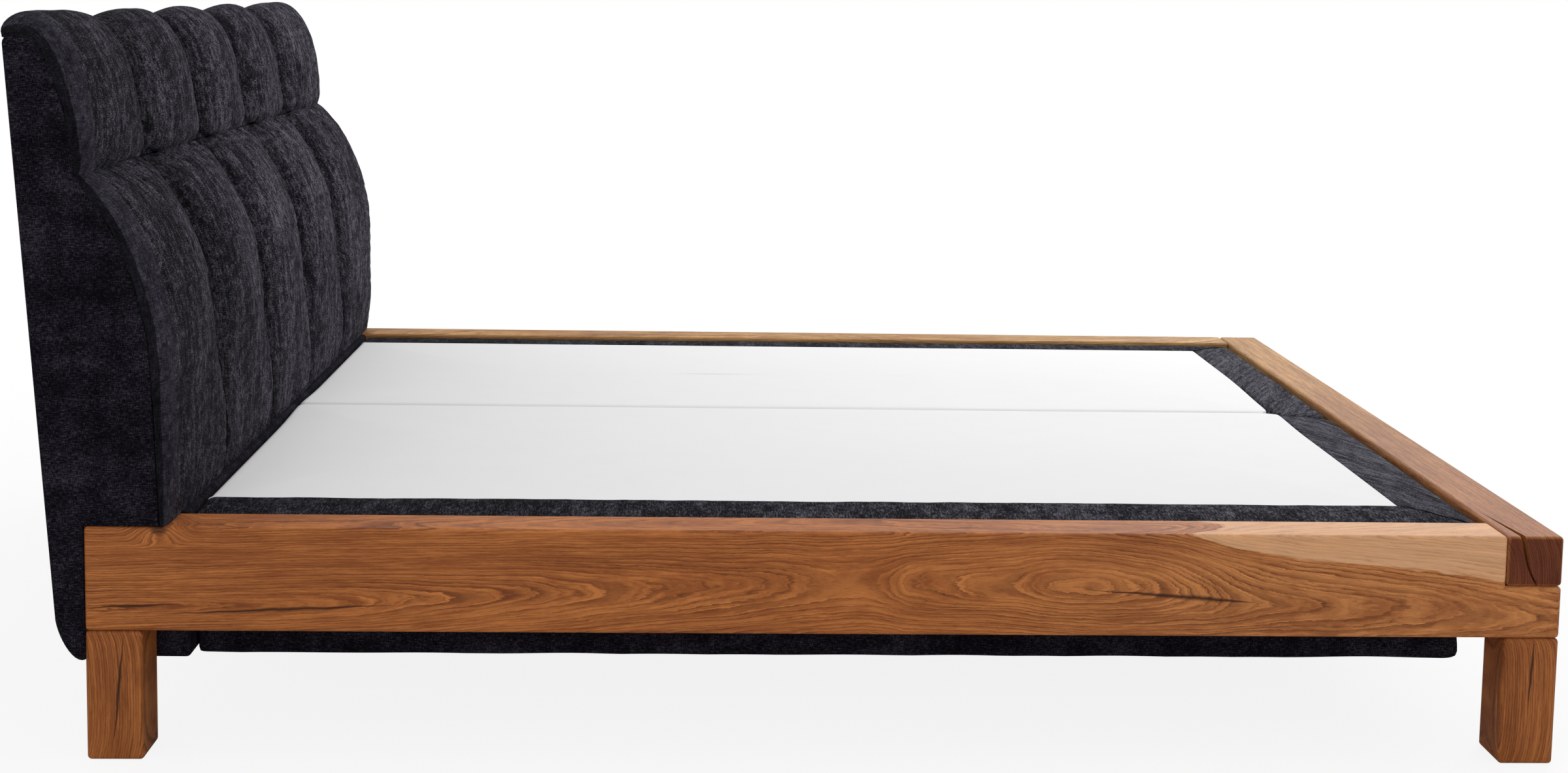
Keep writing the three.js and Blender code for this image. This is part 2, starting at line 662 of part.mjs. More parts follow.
function addHeadboardCovers() {
  const top = flapUnderside - seatGap;
  const outer = [liftedPair(0)(top), liftedPair(0)(footRoundTop)];
  const inner = [liftedPair(coverThickness)(footRoundTop), liftedPair(coverThickness)(top)];
  const outerFoot = footRoundPoints(0, 2 * roundSteps).slice(1).map(pair);
  const innerFoot = footRoundPoints(coverThickness, 2 * roundSteps).slice(1).map(pair);
  const backCover = prism(
    outline([...outer, ...outerFoot, ...innerFoot.reverse(), ...inner]),
    'y', [-panelHalf + seatGap, panelHalf - seatGap]);
  addPiece('headboard_back_cover', backCover, sideFabric);

  const seamLine = [
    [lowerBulge, footBoardTop],
    ...lowerArcPoints(0, lowerArcSteps, tierSeamAngle).map(pair),
    ...upperArcPoints(2 * roundSteps).slice(1).map(pair),
    ...topRollPoints(roundSteps).map(pair)];
  const sideOutline = outline([
    liftedPair(0)(footRoundTop), ...outerFoot, [-seatGap, footBoardTop], ...seamLine]);
  for (const [name, side] of Object.entries(sides)) {
    const cover = prism(sideOutline, 'y', span(side, panelHalf, halfWidth));
    addPiece(`headboard_side_cover_${name}`, cover, sideFabric);
  }
}

// The padding. Its front swells between the upright seams, most where the seams are pulled tightest.

const stationShares = [0, 0.06, 0.16, 0.32, 0.5, 0.68, 0.84, 0.94]; // across one channel
const cushionHalf = panelHalf - seatGap;

// The front points of the padding: each one's place on the seam line, the way it swells and by how much.
function swelling(points, swellShare, seamShare, squareness) {
  return points.map((point, i) => {
    const before = points[Math.max(0, i - 1)];
    const after = points[Math.min(points.length - 1, i + 1)];
    const way = after.clone().sub(before).normalize();
    const place = i / (points.length - 1);
    return {
      point, normal: new THREE.Vector2(way.y, -way.x),
      swell: channelRelief * swellShare(place),
      seam: seamShare(place),
      power: squareness(place),
    };
  });
}

function channelled(front, inner) {
  const rings = [];
  for (let channel = 0; channel < channelCount; channel++) {
    for (const share of stationShares) rings.push(ringAt(channel + share));
  }
  rings.push(ringAt(channelCount));
  return loft(rings, point => new THREE.Vector2(point.x, point.z));

  function ringAt(place) {
    const y = (place / channelCount * 2 - 1) * cushionHalf;
    const across = place % 1;
    const atEnd = place === 0 || place === channelCount;
    const frontPoints = front.map(({ point, normal, swell, seam, power }) => {
      const dip = Math.abs(2 * across - 1) ** power;
      const out = swell * (1 - dip * (atEnd ? 1 : seam));
      return new THREE.Vector3(point.x + normal.x * out, y, point.y + normal.y * out);
    });
    return [...frontPoints, ...inner.map(([x, z]) => new THREE.Vector3(x, y, z))];
  }
}

// From 0 to 1, which it reaches at `full`.
const ramp = (value, full) => Math.min(1, value / full);
const seamSwellShare = 0.35; // of the swelling that is left at the tier seam
const upperRampShare = 0.2; // of the upper front, over which it grows
const lowerRampShare = 0.22;
const upperPower = 2.6;
const lowerPower = 6; // the channels are flatter low down
const lowestSeamShare = 0.3;
const uprightShares = [0, 0.25, 0.6]; // from the rail's top up to where the tier starts to curve

function addPadding() {
  const upperLine = upperArcPoints(2 * roundSteps + 1);
  const rollLine = topRollPoints(roundSteps);
  const swellAt = share => seamSwellShare + (1 - seamSwellShare) * share;
  const upperFaces = swelling(
    upperLine, place => swellAt(ramp(place, upperRampShare)), () => 1, () => upperPower);
  const rollFaces = rollLine.map((point, i) => {
    const turn = Math.PI / 2 * (i + 1) / rollLine.length;
    const normal = new THREE.Vector2(0, 1);
    return { point, normal, swell: channelRelief * Math.cos(turn), seam: 1, power: upperPower };
  });
  const foot = tierSeamHeight + seatGap / 2;
  upperFaces[0].point.y = foot;
  upperFaces[0].normal.set(1, 0);
  const upperInner = [
    [-headboardOverhang, flapUnderside], liftedPair(coverThickness)(flapUnderside),
    liftedPair(coverThickness)(capUnderside), liftedPair(upperBoardFront + seatGap)(capUnderside),
    liftedPair(upperBoardFront + seatGap)(foot)];
  const upperCushion = channelled([...upperFaces, ...rollFaces], upperInner);
  addPiece('headboard_upper_cushion', upperCushion, headboardFabric);

  const ceiling = tierSeamHeight - seatGap / 2;
  const upright = uprightShares.map(share =>
    new THREE.Vector2(lowerBulge, footBoardTop + share * (bulgeStartHeight - footBoardTop)));
  const lowerLine = [...upright, ...lowerArcPoints(0, lowerArcSteps, tierSeamAngle)];
  const uprightTopShare = upright.length / lowerLine.length;
  const fade = place => lowestSeamShare + (1 - lowestSeamShare) * ramp(place, uprightTopShare);
  const lowerFaces = swelling(
    lowerLine, place => swellAt(ramp(1 - place, lowerRampShare)), fade,
    place => lowerPower + (upperPower - lowerPower) * ramp(place, uprightTopShare));
  lowerFaces[0].normal.set(1, 0);
  lowerFaces.at(-1).normal.set(1, 0);
  lowerFaces.at(-1).point.y = ceiling;
  const clearInset = lowerPadThickness - seatGap;
  const boardLine = lowerArcPoints(clearInset, 2 * roundSteps, joinAngle);
  const lowerInner = [
    liftedPair(upperBoardFront + seatGap)(ceiling),
    liftedPair(upperBoardFront + seatGap)(boardLine.at(-1).y + seatGap),
    ...boardLine.map(pair).reverse(), [lowerBulge - clearInset, footBoardTop]];
  addPiece('headboard_lower_cushion', channelled(lowerFaces, lowerInner), headboardFabric);

  const apron = prism(
    outline([
      [apronBackX, apronUnderside], [crestX, apronUnderside, apronRound],
      [crestX, railTop], [apronBackX, railTop]]),
    'y', [-innerHalf + boxSideGap, innerHalf - boxSideGap], endEdgeRound);
  addPiece('headboard_apron', apron, headboardFabric);
}

// The box springs. Each has a timber tray, a spring block, foam round its edge, a fabric cover and a
// white pad.

const trayOuter = boxWall + seatGap;

// The X and Y spans of a box, pulled in by `inset`. Its lower part is rebated for the ledges.
function boxSpan(side, inset, rebated) {
  const cut = rebated ? rebate : 0;
  return [
    [boxHeadX + inset, boxFootX - cut - inset],
    span(side, boxNearY + inset, boxFarY - cut - inset)];
}

const boxPart = (side, inset, rebated, heights) => block(...boxSpan(side, inset, rebated), heights);

const sorted = ([a, b]) => [Math.min(a, b), Math.max(a, b)];

function roundedPart(side, inset, rebated, heights) {
  const [xs, ys] = boxSpan(side, inset, rebated);
  return prism(rectangle(xs, sorted(ys), boxCornerRound), 'z', heights);
}

// The white pad's edges. They lie on the box's own edge at the head and the middle of the bed, and inside
// the border elsewhere.
function padSpan(side, clearance) {
  return [
    [boxHeadX - clearance, boxFootX - borderWidth + clearance],
    span(side, boxNearY - clearance, boxFarY - borderWidth + clearance)];
}

const edgeSetbackShare = 0.33; // of the border's drop, at its outer edge
function addBoxCover(name, side) {
  const edgeDrop = boxTopHeight - boxEdgeHeight;
  const ring = (inset, height) => {
    const [xs, ys] = boxSpan(side, inset, false);
    return rectangle(xs, sorted(ys), boxCornerRound)
      .map(point => new THREE.Vector3(point.x, point.y, height));
  };
  const [padXs, padYs] = padSpan(side, 0);
  const crownRing = rectangle(padXs, sorted(padYs), boxCornerRound)
    .map(point => new THREE.Vector3(point.x, point.y, boxTopHeight));
  const upper = loft([
    ring(0, rebateHeight), ring(0, boxEdgeHeight - edgeDrop),
    ring(edgeSetbackShare * edgeDrop, boxEdgeHeight), crownRing,
  ], point => new THREE.Vector2(point.x, point.y));
  const lower = roundedPart(side, 0, true, [boxUnderside, rebateHeight + boxClothThickness]);
  const padRoom = block(...padSpan(side, seatGap), [padUnderside - seatGap, boxTopHeight + boxCrown]);
  const cavity = boxPart(side, boxWall, false, [rebateHeight + boxClothThickness, padUnderside])
    .add(boxPart(side, boxWall, true, [boxUnderside + boxClothThickness, padUnderside]));
  const cover = upper.add(lower).subtract(padRoom).subtract(cavity);
  addPiece(`box_cover_${name}`, cover, boxFabric);
}

function addBoxTray(name, side) {
  const floor = boxUnderside + boxClothThickness + seatGap;
  const rimLow = rebateHeight + boxClothThickness + seatGap;
  const rimTop = rimLow + trayRimThickness;
  const slatTop = floor + slatThickness;
  const hollow = boxPart(side, trayOuter + trayWall, true, [floor - boreOverrun, rimTop + boreOverrun]);
  let tray = boxPart(side, trayOuter, true, [floor, rimTop])
    .add(boxPart(side, trayOuter, false, [rimLow, rimTop]))
    .subtract(hollow);
  const [xs, ys] = boxSpan(side, trayOuter + trayWall / 2, true);
  for (let i = 0; i < slatCount; i++) {
    const x = xs[0] + (xs[1] - xs[0]) * (i + 0.5) / slatCount;
    tray = tray.add(block([x - slatWidth / 2, x + slatWidth / 2], ys, [floor, slatTop]));
  }
  addPiece(`box_tray_${name}`, tray, softwood);

  const top = padUnderside - 2 * seatGap;
  const core = boxPart(side, trayOuter + trayWall + seatGap, true, [slatTop + seatGap, top]);
  addPiece(`spring_block_${name}`, core, springBlock);
  const edge = boxPart(side, trayOuter, false, [rimTop + seatGap, top])
    .subtract(boxPart(side, trayOuter + trayWall, true, [rimTop - boreOverrun, top + boreOverrun]));
  addPiece(`edge_foam_${name}`, edge, foam);
}

// The white pad is flat below and crowned above. Its top is rings from the edge to the middle.
const crownShares = [[0, 0], [0.06, 0.45], [0.18, 0.8], [0.4, 1]]; // [of half its width, of the crown]
function addBoxPad(name, side) {
  const [xs, ys] = padSpan(side, 0);
  const [y0, y1] = sorted(ys);
  const halfLeast = Math.min(xs[1] - xs[0], y1 - y0) / 2;
  const rings = crownShares.map(([inward, rise]) => {
    const inset = inward * halfLeast;
    return rectangle([xs[0] + inset, xs[1] - inset], [y0 + inset, y1 - inset], boxCornerRound)
      .map(point => new THREE.Vector3(point.x, point.y, boxTopHeight + rise * boxCrown));
  });
  const base = rings[0].map(point => new THREE.Vector3(point.x, point.y, padUnderside));
  const pad = loft([base, ...rings], point => new THREE.Vector2(point.x, point.y));
  addPiece(`box_pad_${name}`, pad, whiteCover);
}

addFrame();
addLegs();
addFrameBolts();
addLedges();
addBearer();
addHeadboardTimber();
addHeadboardBoards();
addHeadboardCovers();
addPadding();
for (const [name, side] of Object.entries(sides)) {
  addBoxTray(name, side);
  addBoxCover(name, side);
  addBoxPad(name, side);
}

export default group;
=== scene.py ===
# %% [markdown]
# # A box spring bed
# The bed has a solid oak frame on four square legs, a padded headboard sewn into five upright
# channels on two tiers, and two loose box springs with white tops and dark borders.
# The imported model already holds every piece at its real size. This script dresses it: it makes the
# soft pieces and the rounded timber as finer meshes, and gives each surface a procedural finish.

import math

import bmesh
import bpy
import numpy as np
from mathutils import Matrix, Vector, noise


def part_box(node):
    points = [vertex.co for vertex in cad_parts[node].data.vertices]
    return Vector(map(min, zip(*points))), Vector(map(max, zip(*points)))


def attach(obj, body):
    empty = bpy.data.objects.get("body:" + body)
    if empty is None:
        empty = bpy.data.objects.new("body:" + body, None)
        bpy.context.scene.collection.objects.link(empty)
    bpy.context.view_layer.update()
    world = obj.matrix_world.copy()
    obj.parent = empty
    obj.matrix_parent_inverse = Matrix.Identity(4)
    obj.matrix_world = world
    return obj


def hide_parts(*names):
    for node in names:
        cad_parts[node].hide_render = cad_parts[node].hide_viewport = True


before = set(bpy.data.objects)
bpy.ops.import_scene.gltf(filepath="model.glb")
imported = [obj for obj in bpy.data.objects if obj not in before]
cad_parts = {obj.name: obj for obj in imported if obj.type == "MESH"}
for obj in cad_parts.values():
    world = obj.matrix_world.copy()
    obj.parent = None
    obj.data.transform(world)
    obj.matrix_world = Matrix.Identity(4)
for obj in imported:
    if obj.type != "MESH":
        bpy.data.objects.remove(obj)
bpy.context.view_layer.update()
MM = 0.001
SIDES = {"left": 1, "right": -1}
print("nodes in the frame:", len(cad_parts))

# %% [markdown]
# ## Camera
# The photograph looks across the bed from its long side, a little above the headboard. Its upright
# edges hardly converge, so the camera was nearly level with a lens shifted down, as studios do. Its
# place, turn and focal length are solved from the edges of the timber and the headboard, with a
# smaller shift that keeps the bed in view from other sides, all but a few pixels of the headboard's top.

# %% Camera
photo_width = 2400
focal_pixels = 3093.3
sensor_width = 36
camera_place = Vector((-0.1416, -3.8742, 1.1767))
camera_yaw = 0.0368
camera_pitch = -0.0997
camera_roll = 0.0170
camera_shift = -0.125


def camera_axes(yaw, pitch, roll):
    """The camera's right, up and forward directions."""
    forward = Vector((math.sin(yaw) * math.cos(pitch), math.cos(yaw) * math.cos(pitch), math.sin(pitch)))
    level = Vector((math.cos(yaw), -math.sin(yaw), 0))
    upright = level.cross(forward)
    right = math.cos(roll) * level + math.sin(roll) * upright
    up = math.cos(roll) * upright - math.sin(roll) * level
    return right, up, forward


right, up, forward = camera_axes(camera_yaw, camera_pitch, camera_roll)
camera = bpy.data.objects.new("camera", bpy.data.cameras.new("camera"))
bpy.context.scene.collection.objects.link(camera)
camera.matrix_world = Matrix((right, up, -forward)).transposed().to_4x4()
camera.location = camera_place
camera.data.sensor_width = sensor_width
camera.data.lens = focal_pixels / photo_width * sensor_width
camera.data.shift_y = camera_shift
bpy.context.scene.camera = camera
bpy.context.scene.view_settings.view_transform = "Standard"
print("lens", round(camera.data.lens, 1), "mm")

# %% [markdown]
# ## Shader maths
# A finish is a small sum of patterns: rings, streaks, weave. Writing such sums with operators reads
# better than wiring Math nodes by hand, so a small class wraps one output socket and each operator
# adds its node. Everything else comes from one method that takes a node's type, settings and inputs.


# %% Signals and finishes
class Signal:
    """One output of a finish's nodes, which Python's operators work on."""

    def __init__(self, finish, socket):
        self.finish = finish
        self.socket = socket

    def _math(self, operation, first, second=0.0):
        return self.finish.add("ShaderNodeMath", {"operation": operation}, {0: first, 1: second})

    def __add__(self, other):
        return self._math("ADD", self, other)

    def __sub__(self, other):
        return self._math("SUBTRACT", self, other)

    def __rsub__(self, other):
        return self._math("SUBTRACT", other, self)

    def __mul__(self, other):
        return self._math("MULTIPLY", self, other)

    def __truediv__(self, other):
        return self._math("DIVIDE", self, other)

    def __abs__(self):
        return self._math("ABSOLUTE", self)

    __radd__ = __add__
    __rmul__ = __mul__

    def root(self):
        return self._math("SQRT", self)

    def fraction(self):
        return self._math("FRACT", self)

    def sine(self):
        return self._math("SINE", self)

    def least(self, other):
        return self._math("MINIMUM", self, other)

    def most(self, other):
        return self._math("MAXIMUM", self, other)

    def between(self, low, high):
        """0 below `low`, 1 above `high`, and a smooth rise from one to the other."""
        settings = {"interpolation_type": "SMOOTHSTEP"}
        return self.finish.add("ShaderNodeMapRange", settings, {0: self, 1: low, 2: high, 3: 0.0, 4: 1.0})


class Finish:
    """A material, with one method that adds any node and a few that name what this bed needs."""

    def __init__(self, name, **surface):
        self.material = bpy.data.materials.new(name)
        self.material.use_nodes = True
        self.tree = self.material.node_tree
        self.surface = self.tree.nodes["Principled BSDF"]
        self.material.diffuse_color = (0.3, 0.3, 0.3, 1)
        self.set(**surface)

    def plug(self, socket, value):
        if isinstance(value, Signal):
            self.tree.links.new(value.socket, socket)
        else:
            socket.default_value = value

    def set(self, **values):
        """Sets the surface's sockets; an underscore in a name stands for a space."""
        for name, value in values.items():
            self.plug(self.surface.inputs[name.replace("_", " ")], value)

    def add(self, kind, settings, sockets, output=0):
        node = self.tree.nodes.new(kind)
        for name, value in settings.items():
            if name == "stops":
                self.fill_ramp(node.color_ramp, value)
            elif name == "points":
                self.fill_curve(node.mapping, value)
            else:
                setattr(node, name, value)
        for name, value in sockets.items():
            self.plug(node.inputs[name], value)
        return Signal(self, node.outputs[output])

    @staticmethod
    def fill_ramp(ramp, stops):
        while len(ramp.elements) < len(stops):
            ramp.elements.new(1.0)
        for element, (place, colour) in zip(ramp.elements, stops):
            element.position = place
            element.color = colour

    @staticmethod
    def fill_curve(mapping, points):
        curve = mapping.curves[0]
        while len(curve.points) < len(points):
            curve.points.new(1.0, 1.0)
        for point, place in zip(curve.points, points):
            point.location = place
        mapping.update()

    def object_place(self):
        return self.add("ShaderNodeTexCoord", {}, {}, output="Object")

    def cloth_place(self):
        return self.add("ShaderNodeTexCoord", {}, {}, output="UV")

    def parts(self, vector):
        split = self.tree.nodes.new("ShaderNodeSeparateXYZ")
        self.plug(split.inputs[0], vector)
        return [Signal(self, socket) for socket in split.outputs]

    def vector(self, x, y, z):
        return self.add("ShaderNodeCombineXYZ", {}, {0: x, 1: y, 2: z})

    def noise(self, place, scale, detail=2.0, roughness=0.5, warp=0.0):
        """Cloudy noise from 0 to 1. `scale` is its frequency along each axis, per metre."""
        sized = self.add("ShaderNodeVectorMath", {"operation": "MULTIPLY"}, {0: place, 1: scale})
        sockets = {"Vector": sized, "Scale": 1.0,
                   "Detail": detail, "Roughness": roughness, "Distortion": warp}
        return self.add("ShaderNodeTexNoise", {}, sockets)

    def ramp(self, factor, stops):
        return self.add("ShaderNodeValToRGB", {"stops": stops}, {0: factor})

    def mix(self, factor, first, second):
        sockets = {0: factor, 6: first, 7: second}
        return self.add("ShaderNodeMix", {"data_type": "RGBA"}, sockets, output=2)

    def shade(self, colour, amount):
        """A colour multiplied by a grey amount."""
        return self.tinted(colour, self.vector(amount, amount, amount))

    def tinted(self, colour, tint):
        """A colour multiplied by another."""
        settings = {"data_type": "RGBA", "blend_type": "MULTIPLY"}
        return self.add("ShaderNodeMix", settings, {0: 1.0, 6: colour, 7: tint}, output=2)

    def bump(self, height, distance, strength=1.0):
        sockets = {"Height": height, "Distance": distance, "Strength": strength}
        self.set(Normal=self.add("ShaderNodeBump", {}, sockets))


def srgb(red, green, blue):
    """A colour as it is seen, from 0 to 255, in the linear values that shaders use."""
    def linear(value):
        share = value / 255
        return share / 12.92 if share <= 0.04045 else ((share + 0.055) / 1.055) ** 2.4
    return (linear(red), linear(green), linear(blue), 1.0)


# %% [markdown]
# ## Light
# The photograph is a cut-out on white under broad, soft light. A pale world lights every side. The main
# softbox stands beyond the far side of the foot, so tops and far flanks are bright and the
# faces towards the viewer stay calm. A panel overhead evens the tops, and a weak one near the viewer
# fills the fronts. The lamps are hidden from the camera, because other views may look towards them.

# %% Light
ambient_strength = 0.32
panels = [  # name, place, target, size, watts
    ("key_panel", (2.3, 2.7, 2.9), (-0.5, 0.0, 0.5), (3.2, 2.4), 102),
    ("overhead_panel", (0.2, 0.1, 3.4), (0.1, 0.0, 0.0), (4.2, 3.0), 20),
    ("front_panel", (-0.7, -4.6, 1.7), (0.1, 0.0, 0.3), (4.0, 2.0), 27),
]
for name, place, target, size, watts in panels:
    softbox = bpy.data.lights.new(name, "AREA")
    softbox.shape = "RECTANGLE"
    softbox.size, softbox.size_y = size
    softbox.energy = watts
    lamp = bpy.data.objects.new(name, softbox)
    lamp.location = place
    lamp.rotation_euler = (Vector(target) - Vector(place)).to_track_quat("-Z", "Y").to_euler()
    lamp.visible_camera = False
    bpy.context.scene.collection.objects.link(lamp)
print("softboxes:", len(panels))

# %% [markdown]
# ## White surroundings
# The background is white only to the eye. Light Path tells what kind of ray asks: camera, glossy and
# transmission rays see white, while the light that falls on the bed stays at a plain level. The
# floor does the same, but lets the eye see a share of its own shading close to the bed, which keeps
# the shadow. That share fades to nothing further out, so that no horizon shows.

# %% White surroundings
floor_half = 14
shadow_share = 0.13  # of the floor's own shading that the camera sees near the bed
shadow_reach = (1.3, 3.4)

world = bpy.data.worlds.new("studio")
bpy.context.scene.world = world
world.use_nodes = True
sky = world.node_tree
backdrop = sky.nodes["Background"]
backdrop.inputs["Color"].default_value = (1, 1, 1, 1)
seen = sky.nodes.new("ShaderNodeLightPath")
white_rays = None
for ray in ("Is Camera Ray", "Is Glossy Ray", "Is Transmission Ray"):
    either = sky.nodes.new("ShaderNodeMath")
    either.operation = "MAXIMUM"
    sky.links.new(seen.outputs[ray], either.inputs[0])
    if white_rays is not None:
        sky.links.new(white_rays, either.inputs[1])
    white_rays = either.outputs[0]
level = sky.nodes.new("ShaderNodeMapRange")
level.inputs["To Min"].default_value = ambient_strength
level.inputs["To Max"].default_value = 1.0
sky.links.new(white_rays, level.inputs["Value"])
sky.links.new(level.outputs[0], backdrop.inputs["Strength"])

floor_finish = Finish("pale_floor", Base_Color=(0.82, 0.82, 0.82, 1), Roughness=0.9, Specular_IOR_Level=0.1)
white = floor_finish.add("ShaderNodeEmission", {}, {"Color": (1, 1, 1, 1), "Strength": 1.0})
to_eye = floor_finish.add("ShaderNodeLightPath", {}, {}, output="Is Camera Ray")
floor_place = floor_finish.object_place()
far_out = floor_finish.add("ShaderNodeVectorMath", {"operation": "LENGTH"}, {0: floor_place}, output="Value")
own_shading = (1 - far_out.between(*shadow_reach)) * shadow_share
shown = floor_finish.add("ShaderNodeMixShader", {}, {
    0: to_eye * (1 - own_shading), 1: Signal(floor_finish, floor_finish.surface.outputs[0]), 2: white})
floor_finish.tree.links.new(shown.socket, floor_finish.tree.nodes["Material Output"].inputs["Surface"])

floor_mesh = bpy.data.meshes.new("floor")
floor_corners = [(-floor_half, -floor_half, 0), (floor_half, -floor_half, 0),
                 (floor_half, floor_half, 0), (-floor_half, floor_half, 0)]
floor_mesh.from_pydata(floor_corners, [], [(0, 1, 2, 3)])
floor_mesh.materials.append(floor_finish.material)
floor = bpy.data.objects.new("floor", floor_mesh)
bpy.context.scene.collection.objects.link(floor)
print("floor", 2 * floor_half, "m square")

# %% [markdown]
# ## Oak
# Oak is cut from a log whose growth rings are nearly round, so the pattern on a face is the cut through
# a bundle of wandering tubes. Each timber gets a line for the log's heart, whose depth and height change
# along its length. The distance from that line, counted in ring widths, gives the rings on every
# face at once: arches where the heart dips away, an eye where it comes near, and arcs on the end grain.
# Each ring starts with a sharp dark band of pores and fades. Pale sapwood is what lies far from the heart.

# %% Oak finish
oak_light = srgb(190, 117, 60)
oak_deep = srgb(150, 84, 40)
oak_ring = srgb(94, 45, 21)
oak_sap = srgb(205, 158, 118)
oak_split = srgb(44, 18, 9)
oak_shine = 0.16
end_tint = (0.29, 0.155, 0.23, 1.0)
ring_width = 3.9 * MM
end_grain_depth = 2.5 * MM  # over the rounded edge at a timber's end


def heart_curve(finish, along, stops):
    """A smooth value along the timber, from (place, value) pairs in metres."""
    places = [place for place, _ in stops]
    values = [value for _, value in stops]
    low, high = min(values), max(values)
    reach = (high - low) or 1.0
    points = [((p - places[0]) / (places[-1] - places[0]), (v - low) / reach) for p, v in stops]
    share = (along - places[0]) / (places[-1] - places[0])
    curve = finish.add("ShaderNodeFloatCurve", {"points": points}, {"Value": share})
    return curve * reach + low


def grey(value):
    return (value, value, value, 1.0)


def split_mask(finish, along, height, split):
    """1 along a tapering drying split, given by its two ends, its widest share and its width."""
    (a0, h0), (a1, h1), widest, width = split
    share = (along - a0) / (a1 - a0)
    bend = finish.noise(finish.vector(along, height, 0.0), (22, 0, 0), detail=3)
    line = height - (share * (h1 - h0) + h0) - (bend - 0.5) * (6 * MM)
    rise = share.between(0.0, widest)
    fall = 1 - share.between(widest, 1.0)
    half = rise * fall * width
    return (1 - abs(line).between(0.0, half + 0.0003)) * rise.between(0.0, 0.02) * fall.between(0.0, 0.02)


def oak_finish(name, grain, depth, height, heart_depth, heart_height, ends, sap=((0, 0.2), (1, 0.2)),
               splits=(), knots=(), tints=(srgb(255, 255, 255),) * 2, seed=0.0, wander=1.0, paler=None):
    """Oak whose grain runs along one axis. `depth` is (axis, face, direction into the timber)."""
    oak = Finish(name, Roughness=0.5, Specular_IOR_Level=oak_shine)
    place = oak.object_place()
    axes = oak.parts(place)
    along = axes[grain]
    inward = (axes[depth[0]] - depth[1]) * depth[2]
    rise = axes[height]
    spot = oak.vector(along + seed, inward, rise)
    drift = oak.noise(spot, (1.7, 9, 9), detail=2) - 0.5
    sway = oak.noise(spot, (8, 30, 30), detail=3) - 0.5
    frayed = oak.noise(spot, (42, 260, 260), detail=5, roughness=0.65) - 0.5
    across = inward - heart_curve(oak, along, heart_depth)
    upward = rise - heart_curve(oak, along, heart_height)
    for knot_along, knot_height, reach in knots:
        offset = oak.vector((along - knot_along) * 0.5, 0.0, rise - knot_height)
        length = oak.add("ShaderNodeVectorMath", {"operation": "LENGTH"}, {0: offset}, output="Value")
        upward = upward - (1 - length.between(0.0, reach)) * reach * 0.7
    radius = (across * across + upward * upward).root()
    radius = radius + (drift * (16 * MM) + sway * (8 * MM)) * wander + frayed * (3.2 * MM)
    rings = radius / ring_width
    uneven = oak.noise(oak.vector(rings, seed, 0.0), (0.55, 1, 1), detail=1)
    phase = (rings + uneven * 2.2).fraction()
    bands = oak.ramp(phase, [
        (0.0, (1, 1, 1, 1)), (0.12, (0.78, 0.78, 0.78, 1)), (0.36, (0.3, 0.3, 0.3, 1)),
        (0.72, (0.05, 0.05, 0.05, 1)), (0.94, (0.0, 0.0, 0.0, 1)), (1.0, (0.9, 0.9, 0.9, 1))])
    bands = oak.parts(bands)[0]
    minor = (rings * 2.7 + uneven * 3.4).fraction()
    bands = bands.most((1 - minor.between(0.04, 0.55)) * 0.5)
    follow = oak.vector(along + seed, radius, rise * 0.2)
    patches = oak.noise(spot, (3.5, 24, 24), detail=2)
    wide_streaks = oak.noise(follow, (7, 150, 40), detail=3, roughness=0.6) - 0.5
    streaks = oak.noise(follow, (26, 620, 90), detail=4, roughness=0.65) - 0.5
    pores = oak.noise(spot, (60, 1500, 1500), detail=2).between(0.5, 0.7)
    broad = oak.noise(spot, (1.6, 9, 9), detail=2) - 0.5
    ground = oak.mix(broad * 1.6 + wide_streaks * 2.8 + streaks * 2.8 + 0.5, oak_deep, oak_light)
    if paler:
        start, full, tint = paler
        ground = oak.mix(along.between(start, full), ground, oak.tinted(ground, tint))
    line_strength = bands * (patches.between(0.3, 0.7) * 0.55 + 0.45)
    coloured = oak.mix(line_strength * 0.92, ground, oak_ring)
    coloured = oak.mix(pores * bands * 0.55, coloured, oak_split)
    ragged = wide_streaks * (16 * MM) + drift * (10 * MM)
    pale = (radius + ragged - heart_curve(oak, along, sap)).between(-1 * MM, 2.5 * MM)
    pale_ground = oak.shade(oak_sap, wide_streaks * 0.35 + streaks * 0.4 + 0.98)
    pale_ground = oak.mix(line_strength * 0.62, pale_ground, ground)
    coloured = oak.mix(pale, coloured, pale_ground)
    opening = None
    for split in splits:
        mask = split_mask(oak, along, rise, split)
        mask = mask * (1 - inward.between(8 * MM, 14 * MM))
        opening = mask if opening is None else opening.most(mask)
    for knot_along, knot_height, reach in knots:
        offset = oak.vector((along - knot_along) * 0.6, 0.0, rise - knot_height)
        length = oak.add("ShaderNodeVectorMath", {"operation": "LENGTH"}, {0: offset}, output="Value")
        core = 1 - (length + frayed * (8 * MM)).between(reach * 0.12, reach * 0.34)
        opening = core if opening is None else opening.most(core * 0.85)
    if opening is not None:
        coloured = oak.mix(opening * 0.92, coloured, oak_split)
    low, high = ends
    edge = (along - low).least(high - along)
    end_face = 1 - edge.between(0.0, end_grain_depth)
    coloured = oak.mix(end_face * 0.85, coloured, oak.tinted(coloured, end_tint))
    coloured = oak.tinted(coloured, oak.mix((along - low) / (high - low), *tints))
    oak.set(Base_Color=coloured, Roughness=0.55 + pores * 0.18 + end_face * 0.15)
    relief = (1 - bands * 0.6) - pores * 0.5 + streaks * 0.5
    if opening is not None:
        relief = relief - opening * 3
    oak.bump(relief, 0.22 * MM, 0.55)
    return oak


# %% [markdown]
# ## Timber
# The rails, the beam and the legs are plain sawn shapes with hand-rounded edges. A bevel on the outer
# edges catches the light as the real rounding does, and weighted normals keep the wide faces flat. The
# sizes all come from the frame, so the pieces meet as they do in the model.

# %% Mesh helpers
edge_round = 6.5 * MM


